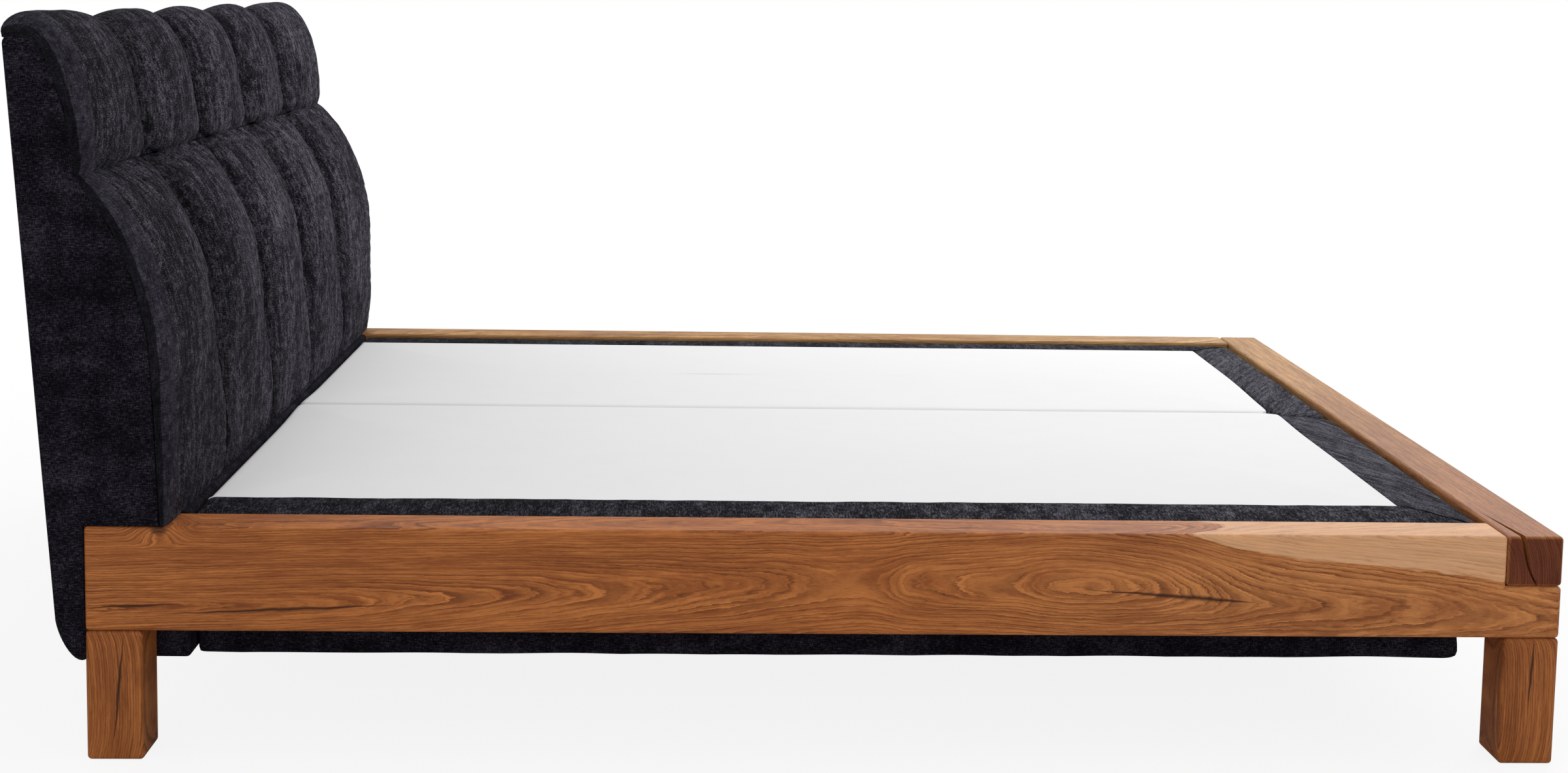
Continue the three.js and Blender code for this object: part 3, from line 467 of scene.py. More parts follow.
def new_piece(name, mesh, finish, body, nodes):
    """Puts a mesh in the scene, on its body, in place of its CAD nodes."""
    mesh.materials.clear()
    mesh.materials.append(finish.material)
    obj = bpy.data.objects.new(name, mesh)
    bpy.context.scene.collection.objects.link(obj)
    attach(obj, body)
    if nodes:
        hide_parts(*nodes)
    return obj


def baked(mesh, *modifiers):
    """The mesh with modifiers applied, each given as (type, settings)."""
    holder = bpy.data.objects.new("holder", mesh)
    bpy.context.scene.collection.objects.link(holder)
    for kind, settings in modifiers:
        modifier = holder.modifiers.new(kind, kind)
        for name, value in settings.items():
            setattr(modifier, name, value)
    graph = bpy.context.evaluated_depsgraph_get()
    result = bpy.data.meshes.new_from_object(holder.evaluated_get(graph), depsgraph=graph)
    bpy.data.objects.remove(holder)
    return result


def sawn(name, outline, axis, low, high):
    """A prism of an outline (a list of pairs in the plane across `axis`) with its outer edges rounded."""
    place = {
        "y": lambda a, b, t: (a, t, b),
        "z": lambda a, b, t: (a, b, t),
    }[axis]
    count = len(outline)
    vertices = [place(a, b, t) for t in (low, high) for a, b in outline]
    sides = [(i, (i + 1) % count, (i + 1) % count + count, i + count) for i in range(count)]
    faces = [tuple(range(count)), tuple(range(count, 2 * count)), *sides]
    mesh = bpy.data.meshes.new(name)
    mesh.from_pydata(vertices, [], faces)
    form = bmesh.new()
    form.from_mesh(mesh)
    bmesh.ops.recalc_face_normals(form, faces=form.faces)
    weight = form.edges.layers.float.new("bevel_weight_edge")
    for edge in form.edges:
        edge[weight] = 1.0 if edge.is_convex else 0.0
    form.to_mesh(mesh)
    form.free()
    bevel = {"width": edge_round, "segments": 5, "limit_method": "WEIGHT", "use_clamp_overlap": True}
    return baked(mesh, ("BEVEL", bevel))


def finish_timber(mesh, *extra):
    """Smooth faces with flat sides."""
    for polygon in mesh.polygons:
        polygon.use_smooth = True
    mesh.set_sharp_from_angle(angle=math.radians(38))
    return baked(mesh, *extra, ("WEIGHTED_NORMAL", {"keep_sharp": True, "weight": 100}))


# %% [markdown]
# ### Side rails
# The near rail carries the photograph's strongest grain: arches that open to the headboard, an eye past
# the middle, a drying split beside it, and sapwood along the top towards the foot. Its heart
# line is read from those arches. The far rail gets a quieter line of its own.

# %% Side rails
rail_low, rail_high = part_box("side_rail_right")
beam_low, beam_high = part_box("foot_beam")
rail_end = rail_low.x
beam_seat = 0.3 * MM
near_face = rail_low.y


def rail_outline():
    notch_x = beam_low.x - beam_seat
    notch_z = beam_low.z - beam_seat
    return [
        (rail_low.x, rail_low.z), (rail_high.x, rail_low.z), (rail_high.x, notch_z),
        (notch_x, notch_z), (notch_x, rail_high.z), (rail_low.x, rail_high.z)]


def from_rail_end(pairs):
    """Places counted from the rails' head ends, in millimetres, as places in the frame."""
    return [(rail_end + place * MM, value * MM) for place, value in pairs]


near_heart_depth = from_rail_end([
    (0, 6), (300, 13), (530, 25), (694, 35), (825, 45), (1028, 55), (1160, 61), (1240, 51),
    (1400, 39), (1500, 30), (1570, 35), (1680, 50), (1800, 66), (2000, 76), (2245, 88)])
near_heart_height = from_rail_end([
    (0, 236), (250, 242), (600, 256), (900, 268), (1300, 281), (1550, 278),
    (1750, 262), (2000, 248), (2245, 232)])
near_sap = from_rail_end([
    (0, 150), (1200, 150), (1560, 108), (1700, 97), (1900, 98), (2245, 100)])


def rail_split(start, end, widest, width):
    return (*from_rail_end([start, end]), widest, width * MM)


near_rail_oak = oak_finish(
    "oak_near_rail", 0, (1, near_face, 1), 2, near_heart_depth, near_heart_height,
    (rail_low.x, rail_high.x), sap=near_sap,
    splits=[
        rail_split((-6, 235), (146, 243), 0.5, 3.6), rail_split((96, 226), (470, 243), 0.55, 4.6),
        rail_split((1500, 274), (1775, 254), 0.7, 6.4)],
    knots=[(rail_end + 112 * MM, 0.356, 31 * MM)], tints=(grey(0.94), grey(1.06)),
    paler=(rail_end + 1150 * MM, rail_end + 1900 * MM, (1.06, 1.22, 1.5, 1.0)))
far_rail_oak = oak_finish(
    "oak_far_rail", 0, (1, -near_face, -1), 2,
    from_rail_end([(0, 90), (700, 70), (1500, 95), (2245, 60)]),
    from_rail_end([(0, 170), (900, 215), (1600, 190), (2245, 240)]),
    (rail_low.x, rail_high.x), sap=from_rail_end([(0, 250), (1300, 250), (2245, 190)]), seed=3.0,
    tints=((1.0, 1.45, 1.95, 1.0), (1.22, 2.2, 3.4, 1.0)))

for side, sign in SIDES.items():
    node = f"side_rail_{side}"
    low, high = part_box(node)
    mesh = finish_timber(sawn(node, rail_outline(), "y", low.y, high.y))
    oak = far_rail_oak if sign > 0 else near_rail_oak
    new_piece(f"oak_rail_{side}", mesh, oak, "bed_frame", [node])

# %% [markdown]
# ### Foot beam
# The beam lies across the rails' notches with its end grain in view. A drying split opens in that end:
# it runs down the end face in a curve and inwards along the top. A tapered wedge cuts it out of
# the mesh, because a bump alone would leave the beam's outline closed.

# %% Foot beam
split_mouth = 10 * MM
split_reach = 150 * MM


def beam_split():
    """The wedge that opens the near end: wide at the end face and closed inside."""
    steps = 9
    width = beam_high.x - beam_low.x
    height = beam_high.z - beam_low.z
    over = 4 * MM
    mouth = []
    for sign in (-1, 1):
        edge = []
        for i in range(steps + 1):
            share = i / steps
            half = split_mouth / 2 * (1 - 0.68 * share ** 0.6) * sign
            wiggle = math.sin(share * 7.0) * 0.9 * MM
            x = beam_low.x + width * (0.27 + 0.30 * share ** 1.7) + half + wiggle
            edge.append((x, beam_low.y - over, beam_high.z + over - share * (height + 2 * over)))
        mouth.extend(edge if sign < 0 else reversed(edge))
    centre_x = beam_low.x + width * 0.12
    tip = [(centre_x + (x - centre_x) * 0.02, beam_low.y + split_reach,
            beam_high.z + over + (z - beam_high.z - over) * 0.1)
           for x, _, z in mouth]
    count = len(mouth)
    faces = [tuple(range(count)), tuple(range(count, 2 * count))]
    faces += [(i, (i + 1) % count, (i + 1) % count + count, i + count) for i in range(count)]
    mesh = bpy.data.meshes.new("wedge")
    mesh.from_pydata(mouth + tip, [], faces)
    form = bmesh.new()
    form.from_mesh(mesh)
    bmesh.ops.recalc_face_normals(form, faces=form.faces)
    bmesh.ops.triangulate(form, faces=form.faces)
    form.to_mesh(mesh)
    form.free()
    return mesh


beam_oak = oak_finish(
    "oak_beam", 1, (0, beam_low.x, 1), 2,
    [(beam_low.y, -0.070), (-0.2, -0.084), (0.4, -0.076), (beam_high.y, -0.09)],
    [(beam_low.y, 0.300), (-0.3, 0.312), (0.4, 0.296), (beam_high.y, 0.31)],
    (beam_low.y, beam_high.y), sap=[(beam_low.y, 0.4), (beam_high.y, 0.4)], seed=7.0, wander=0.9,
    tints=((0.84, 0.92, 1.10, 1.0), (1.10, 1.84, 2.75, 1.0)))
beam_outline = [
    (beam_low.x, beam_low.z), (beam_high.x, beam_low.z),
    (beam_high.x, beam_high.z), (beam_low.x, beam_high.z)]
beam_mesh = sawn("foot_beam", beam_outline, "y", beam_low.y, beam_high.y)
wedge = bpy.data.objects.new("wedge", beam_split())
bpy.context.scene.collection.objects.link(wedge)
beam_mesh = finish_timber(
    beam_mesh, ("BOOLEAN", {"operation": "DIFFERENCE", "object": wedge, "solver": "EXACT"}))
bpy.data.objects.remove(wedge)
new_piece("oak_foot_beam", beam_mesh, beam_oak, "bed_frame", ["foot_beam"])

# %% [markdown]
# ### Legs
# Each leg is a square post with upright grain. The near pair show a thin drying split each.

# %% Legs
leg_hearts = {
    "leg_head_right": ([(0.0, 0.06), (0.1, 0.05), (0.2, 0.065)],
                       [(0.0, -0.150), (0.1, -0.144), (0.2, -0.152)]),
    "leg_foot_right": ([(0.0, 0.05), (0.1, 0.06), (0.2, 0.05)], [(0.0, 0.140), (0.1, 0.146), (0.2, 0.138)]),
    "leg_head_left": ([(0.0, 0.09), (0.2, 0.08)], [(0.0, 0.14), (0.2, 0.13)]),
    "leg_foot_left": ([(0.0, 0.08), (0.2, 0.10)], [(0.0, -0.15), (0.2, -0.14)]),
}
leg_splits = {
    "leg_head_right": [((0.200, 58 * MM), (0.028, 41 * MM), 0.55, 4.6 * MM)],
    "leg_foot_right": [((0.200, 2206 * MM), (0.075, 2201 * MM), 0.35, 3.8 * MM)],
}
for number, (node, (depths, offsets)) in enumerate(leg_hearts.items()):
    low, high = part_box(node)
    facing = -1 if low.y > 0 else 1
    face = high.y if low.y > 0 else low.y
    centre = (low.x + high.x) / 2
    splits = [((a0, rail_end + h0), (a1, rail_end + h1), widest, width)
              for (a0, h0), (a1, h1), widest, width in leg_splits.get(node, [])]
    leg_oak = oak_finish(
        f"oak_{node}", 2, (1, face, facing), 0, depths, [(z, centre + x) for z, x in offsets],
        (low.z, high.z + 0.01), sap=[(0, 0.5), (0.2, 0.5)], splits=splits, seed=11.0 + number,
        tints=(grey(0.85),) * 2, wander=0.35)
    square = [(low.x, low.y), (high.x, low.y), (high.x, high.y), (low.x, high.y)]
    mesh = finish_timber(sawn(node, square, "z", low.z, high.z))
    new_piece(f"oak_{node}", mesh, leg_oak, "bed_frame", [node])

# %% [markdown]
# ## Skins
# Every soft piece is a closed skin through rings of points. The same helper gives each skin a map in
# real metres, along the rings and across them, so that a weave keeps its size on every piece and
# follows the cloth over edges.


# %% Skin helper
def skin(name, rings, caps=(True, True), closed=True, smooth_angle=55):
    """A mesh through rings of equally many points, with its weave map in metres."""
    points = np.asarray(rings, float)
    rows, count = points.shape[:2]
    mesh = bpy.data.meshes.new(name)
    columns = count if closed else count - 1
    faces = []
    for r in range(rows - 1):
        for i in range(columns):
            j = (i + 1) % count
            faces.append((r * count + i, r * count + j, (r + 1) * count + j, (r + 1) * count + i))
    if caps[0]:
        faces.append(tuple(range(count))[::-1])
    if caps[1]:
        faces.append(tuple((rows - 1) * count + i for i in range(count)))
    mesh.from_pydata(points.reshape(-1, 3).tolist(), [], faces)
    steps = np.linalg.norm(np.roll(points, -1, axis=1) - points, axis=2)
    along = np.concatenate([np.zeros((rows, 1)), np.cumsum(steps, axis=1)], axis=1)
    along = np.median(along, axis=0)
    gaps = np.linalg.norm(np.diff(points, axis=0), axis=2)
    over = np.concatenate([np.zeros((1, count)), np.cumsum(gaps, axis=0)])
    over -= over[rows // 2]
    cloth = mesh.uv_layers.new(name="cloth")
    for polygon in mesh.polygons:
        cap = polygon.index >= (rows - 1) * columns
        for loop in polygon.loop_indices:
            vertex = mesh.loops[loop].vertex_index
            row, column = divmod(vertex, count)
            if cap:
                cloth.data[loop].uv = (points[row, column, 0], points[row, column, 2])
                continue
            wrapped = column == 0 and polygon.index % columns == count - 1
            cloth.data[loop].uv = (along[count if wrapped else column], over[row, column])
    form = bmesh.new()
    form.from_mesh(mesh)
    if caps[0] and caps[1] and form.calc_volume(signed=True) < 0:
        bmesh.ops.reverse_faces(form, faces=form.faces)
    form.to_mesh(mesh)
    form.free()
    for polygon in mesh.polygons:
        polygon.use_smooth = True
    mesh.set_sharp_from_angle(angle=math.radians(smooth_angle))
    return mesh


# %% [markdown]
# Modelled padding looks stiff, so the padded pieces get a short cloth simulation. The seams and the
# back are held, the cloth between them is cut slightly too large, and pressure blows it out for 20
# frames. What moved too far is capped, and only the moved points are kept, so that no modifier stays.

# %% Swelling
swell_frames = 20
swell_pressure = 4.0


def swollen(mesh, held, slack, caps):
    """Moves a mesh's points as its cloth would swell. Points in `held` stay, and none passes its cap."""
    scene = bpy.context.scene
    pad = bpy.data.objects.new("swelling", mesh)
    scene.collection.objects.link(pad)
    pad.vertex_groups.new(name="held").add([int(i) for i in held], 1.0, "REPLACE")
    cloth = pad.modifiers.new("cloth", "CLOTH")
    cloth.settings.vertex_group_mass = "held"
    cloth.settings.use_pressure = True
    cloth.settings.uniform_pressure_force = swell_pressure
    cloth.settings.shrink_min = -slack
    cloth.settings.effector_weights.gravity = 0
    cloth.settings.quality = 6
    cloth.collision_settings.use_collision = False
    cloth.point_cache.frame_start, cloth.point_cache.frame_end = 1, swell_frames
    for moment in range(1, swell_frames + 1):
        scene.frame_set(moment)
    blown = pad.evaluated_get(bpy.context.evaluated_depsgraph_get()).data
    before, after = (np.empty(len(mesh.vertices) * 3) for _ in range(2))
    mesh.vertices.foreach_get("co", before)
    blown.vertices.foreach_get("co", after)
    move = (after - before).reshape(-1, 3)
    size, caps = np.linalg.norm(move, axis=1), np.array(caps)
    move *= (caps * np.tanh(size / caps) / np.maximum(size, 1e-9))[:, None]
    mesh.vertices.foreach_set("co", before + move.ravel())
    mesh.update()
    scene.frame_set(1)
    bpy.data.objects.remove(pad)
    print("swelling of", mesh.name, "up to", round(float(size.max()) / MM, 1), "mm before the cap")
    return mesh


def cloud(x, y, z, scale):
    """Smooth noise from -1 to 1 at a place, `scale` per metre."""
    return noise.noise(Vector((x, y, z)) * scale)


# %% [markdown]
# ## Fabrics
# The headboard's front is a chenille: short fuzzy yarns in two directions, in blues and greys so close
# that they read as one dark cloth, with light flecks where a yarn comes up and dark smears where the
# pile lies the other way. Its side is a flatter weave with dashes along one way. Stretched noise gives
# both, because slubby yarn has no repeat: fine across a yarn and coarse along it. Noise
# stays close to its middle, so each layer has a gain that spreads it.

# %% Woven cloth
fleck_gain = 2.2
smear_gain = 2.0
mesh_gain = 1.4
seam_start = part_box("headboard_side_cover_left")[1].y
seam_pitch = 2 * seam_start / 5
calm_tone = 0.62
mitre_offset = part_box("box_cover_left")[1].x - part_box("box_cover_left")[1].y


def woven(name, tones, weft=(150, 800), warp=(120, 560), smear=(14, 62), fleck=1.0, smears=1.0,
          balance=0.5, pile=0.6 * MM, crinkle=0.0, fuzz_scale=650, seams=None):
    """A slubby cloth. Each pair is a noise's frequency along and across its yarns, per metre."""
    cloth = Finish(name, Roughness=0.95, Specular_IOR_Level=0.03)
    place = cloth.cloth_place()
    across = cloth.noise(place, (weft[1], weft[0], 1), detail=3, roughness=0.62) - 0.5
    upright = cloth.noise(place, (warp[0], warp[1], 1), detail=3, roughness=0.62) - 0.5
    fuzz = cloth.noise(place, (fuzz_scale, fuzz_scale, 1), detail=3, roughness=0.7) - 0.5
    pressed = cloth.noise(place, (smear[0], smear[1], 1), detail=4, roughness=0.66, warp=0.3) - 0.5
    crossed = cloth.noise(place, (smear[1] * 1.3, smear[0] * 1.6, 1), detail=4, roughness=0.66) - 0.5
    broad = cloth.noise(place, (3.5, 8, 1), detail=3) - 0.5
    yarns = across * balance + upright * (1 - balance)
    value = (yarns * (2 * fleck_gain) + fuzz * mesh_gain) * fleck
    value = value + (pressed * smear_gain + crossed * mesh_gain + broad) * smears + 0.5
    x, y, z = cloth.parts(cloth.object_place())
    if seams == "upright":
        on_roll = abs(y).between(seam_start - 50 * MM, seam_start - 22 * MM)
        value = value + (calm_tone - value) * on_roll * 0.7
        share = ((y + seam_start) / seam_pitch).fraction()  # across a channel
        edge = share.least(1 - share) * seam_pitch
        inside = 1 - abs(y).between(seam_start - 60 * MM, seam_start - 50 * MM)
        # Painted shade on the near flank of each channel, over about 78 mm from its seam.
        painted_flank_shade = 1 - (share * seam_pitch).between(0.0, 78 * MM)
        # A dark line along each upright seam: partly thread and pressed pile, partly painted shade in the
        # seam's groove.
        dark = (1 - edge.between(1.5 * MM, 6 * MM)) * 0.55 + painted_flank_shade * 0.44
        # A dark line where the roll meets the side panel: partly the hem, partly painted shade in the gap.
        hem_line_shade = abs(y).between(seam_start - 3.4 * MM, seam_start - 2.2 * MM) * 0.7
        # Painted light and shade: darker towards the headboard's near end and on each channel's near side,
        # lighter towards the far end and far sides; the roll is left out.
        painted_light_falloff = (y.between(-0.75, 0.35) * 0.34 + 0.72) * (share * 0.26 + 0.92)
        painted_light_falloff = painted_light_falloff + (1 - painted_light_falloff) * on_roll
        colour = cloth.shade(cloth.ramp(value, tones), (1 - dark * inside) * (1 - hem_line_shade) * painted_light_falloff)
    elif seams == "mitre":
        past_mitre = x - abs(y) - mitre_offset
        # Painted light: the border's foot leg is made lighter and its side leg darker, as the light falls on
        # them.
        value = value + past_mitre.between(-2 * MM, 2 * MM) * 0.16 - 0.06
        # A dark line along the mitre: partly the seam, partly painted shade in its crease.
        sewn = abs(past_mitre).between(2.5 * MM, 7 * MM)
        # Painted light and shade: the border darker towards the headboard and lighter towards the foot.
        painted_light_falloff = x.between(-0.95, 0.75) * 0.5 + 0.52
        colour = cloth.shade(cloth.ramp(value, tones), (sewn * 0.85 + 0.15) * painted_light_falloff)
    else:
        colour = cloth.ramp(value, tones)
    cloth.set(Base_Color=colour)
    height = yarns * 2 + fuzz
    if crinkle:
        turned = cloth.add("ShaderNodeMapping", {"vector_type": "POINT"}, {
            "Vector": place, "Rotation": (0.0, 0.0, math.radians(38))})
        folds = cloth.noise(turned, (120, 210, 1), detail=2, roughness=0.55) - 0.5
        height = height + folds * crinkle
    cloth.bump(height, pile, 0.7)
    return cloth


chenille = woven("chenille", [
    (0.10, srgb(7, 5, 10)), (0.36, srgb(21, 19, 25)), (0.56, srgb(40, 38, 45)), (0.76, srgb(66, 64, 72)),
    (1.0, srgb(100, 97, 106))],
    weft=(110, 640), warp=(70, 520), smear=(15, 62), fleck=1.15, smears=0.8, pile=1.0 * MM, crinkle=1.4,
    fuzz_scale=620,
    seams="upright")
side_weave = woven("side_weave", [
    (0.15, srgb(8, 6, 11)), (0.45, srgb(19, 17, 23)), (0.7, srgb(32, 30, 37)), (1.0, srgb(56, 53, 61))],
    weft=(150, 620), warp=(120, 620), smear=(9, 26), fleck=0.95, smears=0.55, balance=0.42, pile=0.4 * MM)
border_weave = woven("border_weave", [
    (0.10, srgb(10, 9, 13)), (0.38, srgb(30, 29, 35)), (0.62, srgb(56, 55, 62)), (1.0, srgb(106, 104, 112))],
    weft=(150, 700), warp=(80, 420), smear=(18, 60), smears=0.7, pile=0.8 * MM, fuzz_scale=600,
    seams="mitre")
back_lining = woven("back_lining", [
    (0.2, srgb(12, 11, 15)), (0.5, srgb(22, 21, 26)), (0.9, srgb(38, 36, 43))],
    weft=(420, 1100), warp=(420, 1100), smear=(5, 9), fleck=0.5, smears=0.35, pile=0.25 * MM)
print("cloths:", ", ".join(c.material.name for c in (chenille, side_weave, border_weave, back_lining)))

# %% [markdown]
# The boxes' tops are a white stretch jersey. Its fine ribs are two crossed sine waves, and a slow noise
# gives the slack that a fabric over foam always shows.

# %% White jersey
jersey = Finish("white_jersey", Roughness=0.88, Specular_IOR_Level=0.2, Sheen_Weight=0.1)
knit_place = jersey.cloth_place()
knit_x, knit_y, _ = jersey.parts(knit_place)
ribs = (knit_x * (math.tau / (1.6 * MM))).sine() * (knit_y * (math.tau / (2.2 * MM))).sine()
soft_patches = jersey.noise(knit_place, (9, 14, 1), detail=3)
strands = jersey.noise(knit_place, (900, 260, 1), detail=2)
tone = (soft_patches - 0.5) * 0.03 + (strands - 0.5) * 0.035 + ribs * 0.008 + 0.985
jersey.set(Base_Color=jersey.shade(srgb(229, 229, 230), tone))
slack = jersey.noise(knit_place, (5, 26, 1), detail=3)
jersey.bump(ribs * 0.12 + strands * 0.25 + slack * 2.2, 0.5 * MM, 0.35)

# %% [markdown]
# ## Headboard outline
# Seen from the side, the headboard is two rolls on a leaning back. The seam line of each roll is a curve
# through real sizes: upright to half height, then an ellipse up to the seam between the tiers, a short
# swell above it, and a second ellipse over the top. All the soft pieces of the headboard follow it.

# %% Headboard outline
cover_low, cover_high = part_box("headboard_side_cover_left")
lower_low, lower_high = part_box("headboard_lower_cushion")
upper_low, upper_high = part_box("headboard_upper_cushion")
gap = 0.3 * MM
overhang = rail_end - cover_low.x
foot_depth = 44 * MM
foot_round_top = cover_low.z + 61 * MM
bulge_x = cover_high.x - rail_end
relief = 14 * MM
bulge_start = 583 * MM
bulge_reach = 220 * MM
tier_z = lower_high.z + gap / 2
tier_x = -2 * MM
upper_front = 5 * MM
upper_full = 39 * MM
crest_x = -overhang * 0.752
crest_z = cover_high.z
channel_count = 5
panel_half = cover_low.y
outer_half = cover_high.y
board_inset = 36 * MM


def lean(z):
    """The back face at a height."""
    return -foot_depth - (overhang - foot_depth) * (z - foot_round_top) / (crest_z - foot_round_top)


def lower_curve():
    """The lower tier's seam line, from the rail's top up to the tier seam, finely stepped."""
    centre_x = bulge_x - bulge_reach
    rise = (tier_z - bulge_start) / math.sqrt(1 - ((tier_x - centre_x) / bulge_reach) ** 2)
    last = math.asin((tier_z - bulge_start) / rise)
    straight = [(bulge_x, lower_low.z + (bulge_start - lower_low.z) * i / 40) for i in range(40)]
    arc = [(centre_x + bulge_reach * math.cos(a), bulge_start + rise * math.sin(a))
           for a in np.linspace(0, last, 120)]
    return np.array(straight + arc)


def upper_curve():
    """The upper tier's seam line, from the tier seam over the crest to the back flap's top."""
    swell = [(upper_front - (upper_front - tier_x) * (1 - t) ** 2, tier_z + t * upper_full)
             for t in np.linspace(0, 1, 16)[:-1]]
    arc = [(crest_x + (upper_front - crest_x) * math.cos(a), tier_z + upper_full
            + (crest_z - tier_z - upper_full) * math.sin(a)) for a in np.linspace(0, math.pi / 2, 70)]
    drop = 11.7 * MM
    roll = [(crest_x - (overhang + crest_x) * math.sin(a), crest_z - drop * (1 - math.cos(a)))
            for a in np.linspace(0, math.pi / 2, 16)[1:]]
    flap = [(-overhang, crest_z - drop - t * 13 * MM) for t in np.linspace(0, 1, 5)[1:]]
    return np.array(swell + arc + roll + flap)


def resample(line, places):
    """Points and outward normals at distances along a line."""
    steps = np.linalg.norm(np.diff(line, axis=0), axis=1)
    reach = np.concatenate([[0], np.cumsum(steps)])
    points = np.stack([np.interp(places, reach, line[:, k]) for k in (0, 1)], axis=1)
    slopes = np.gradient(points, places, axis=0)
    slopes /= np.linalg.norm(slopes, axis=1)[:, None]
    return points, np.stack([slopes[:, 1], -slopes[:, 0]], axis=1)


def line_length(line):
    return float(np.linalg.norm(np.diff(line, axis=0), axis=1).sum())


def eased(length, step, fine, reach):
    """Distances from 0 to `length`: steps of `fine` at both ends that grow to `step` over `reach`."""
    places = [0.0]
    while places[-1] < length:
        near = min(places[-1], length - places[-1])
        places.append(places[-1] + fine + (step - fine) * min(1.0, near / reach))
    places = np.array(places)
    return places * length / places[-1]


# %% [markdown]
# ## Headboard edge line
# At its two ends the padding rolls down to a flat side panel that is cut smaller than the roll. How
# much smaller changes with height: little at the tier seam, where the cloth is tied in, and about two
# centimetres where the padding is fullest. This line is where the panel and the roll are sewn together.

# %% Headboard edge line
panel_inset = [(363, 6), (520, 13), (700, 18), (757, 17), (805, 14), (838, 12), (855, 9), (875, 5), (886, 3)]
panel_inset_above = [(886, 2), (900, 3), (925, 10), (954, 14), (1000, 18), (1022, 20),
                     (1092, 17), (1112, 17)]
crest_inset = 17 * MM
hem_drop = 3 * MM


def edge_line(line, insets):
    """The sewn edge under each point of a seam line."""
    heights, depths = (np.array(column) * MM for column in zip(*insets))
    steps = np.concatenate([[0], np.cumsum(np.linalg.norm(np.diff(line, axis=0), axis=1))])
    _, normals = resample(line, steps)
    edge = line - normals * np.interp(line[:, 1], heights, depths)[:, None]
    over = (line[:, 0] < crest_x) & (line[:, 1] > tier_z)
    if over.any():
        share = (crest_x - line[over, 0]) / (overhang + crest_x)
        edge[over, 0] = crest_x - share * (overhang + crest_x - MM)
        edge[over, 1] = crest_z - crest_inset - hem_drop * share ** 3
        flap = over & (line[:, 0] <= -overhang + 0.1 * MM)
        edge[flap, 1] = np.minimum(edge[flap, 1], line[flap, 1])
    return edge


lower_line = lower_curve()
upper_line = upper_curve()
lower_edge = edge_line(lower_line, panel_inset)
upper_edge = edge_line(upper_line, panel_inset_above)
print("edge lines:", len(lower_edge), "and", len(upper_edge), "points")

# %% [markdown]
# ## Headboard padding
# Each tier is one padded piece, tied down along four upright seams. Between the seams every channel is a
# pillow: its height is that of an ellipsoid whose rim is the upright seams and the tier seam, so the
# corners come out round. The upright seams are deep at the top and fade towards the bed. Real
# cloth also puckers where the thread pulls it in, so small ripples run out from every seam.

# %% Headboard padding
channel_width = 2 * outer_half / channel_count
seam_depth = 22 * MM
cross_share = 0.74
end_roll = 34 * MM


def stations():
    """Places across the headboard, close together at each seam and at the outer ends."""
    one = eased(channel_width, 9 * MM, 1.2 * MM, 60 * MM)
    places = [one[:-1] + k * channel_width for k in range(channel_count)]
    return np.concatenate([*places, [channel_count * channel_width]]) - outer_half


def pillow(y, v, roundness, rim, groove):
    """A channel's height from 0 to 1, `v` above the cross seam. `groove` weakens its upright seams."""
    place = (y + outer_half) / channel_width
    index = min(channel_count - 1, max(0, math.floor(place)))
    share = place - index
    at_end = (index == 0 and share < 0.5) or (index == channel_count - 1 and share >= 0.5)
    edge = min(share, 1 - share) * channel_width
    sideways = 0.0 if at_end else (1 - min(1.0, edge / roundness)) ** 2 * groove
    fade = min(1.0, max(0.0, (outer_half - abs(y) - 10 * MM) / (46 * MM)))
    upward = (1 - min(1.0, v / rim)) ** 2 * cross_share * fade * fade * (3 - 2 * fade)
    return math.sqrt(max(0.0, 1 - sideways - upward))


def pucker(y, v, strength_y, strength_v, seed):
    """Ripples that run out from the seams, and the slack between them."""
    index = (y + outer_half) / channel_width
    edge = abs(index - round(index)) * channel_width
    upright = math.exp(-edge / (34 * MM)) * cloud(round(index) * 3.1 + seed, v, edge, 48) * strength_y
    cross = math.exp(-v / (30 * MM)) * cloud(y, seed, v * 0.3, 42) * strength_v
    broad = cloud(y, v, seed, 7) * 1.8 * MM + cloud(y + v * 0.6, v, seed + 5, 17) * 1.0 * MM
    return upright + cross + broad


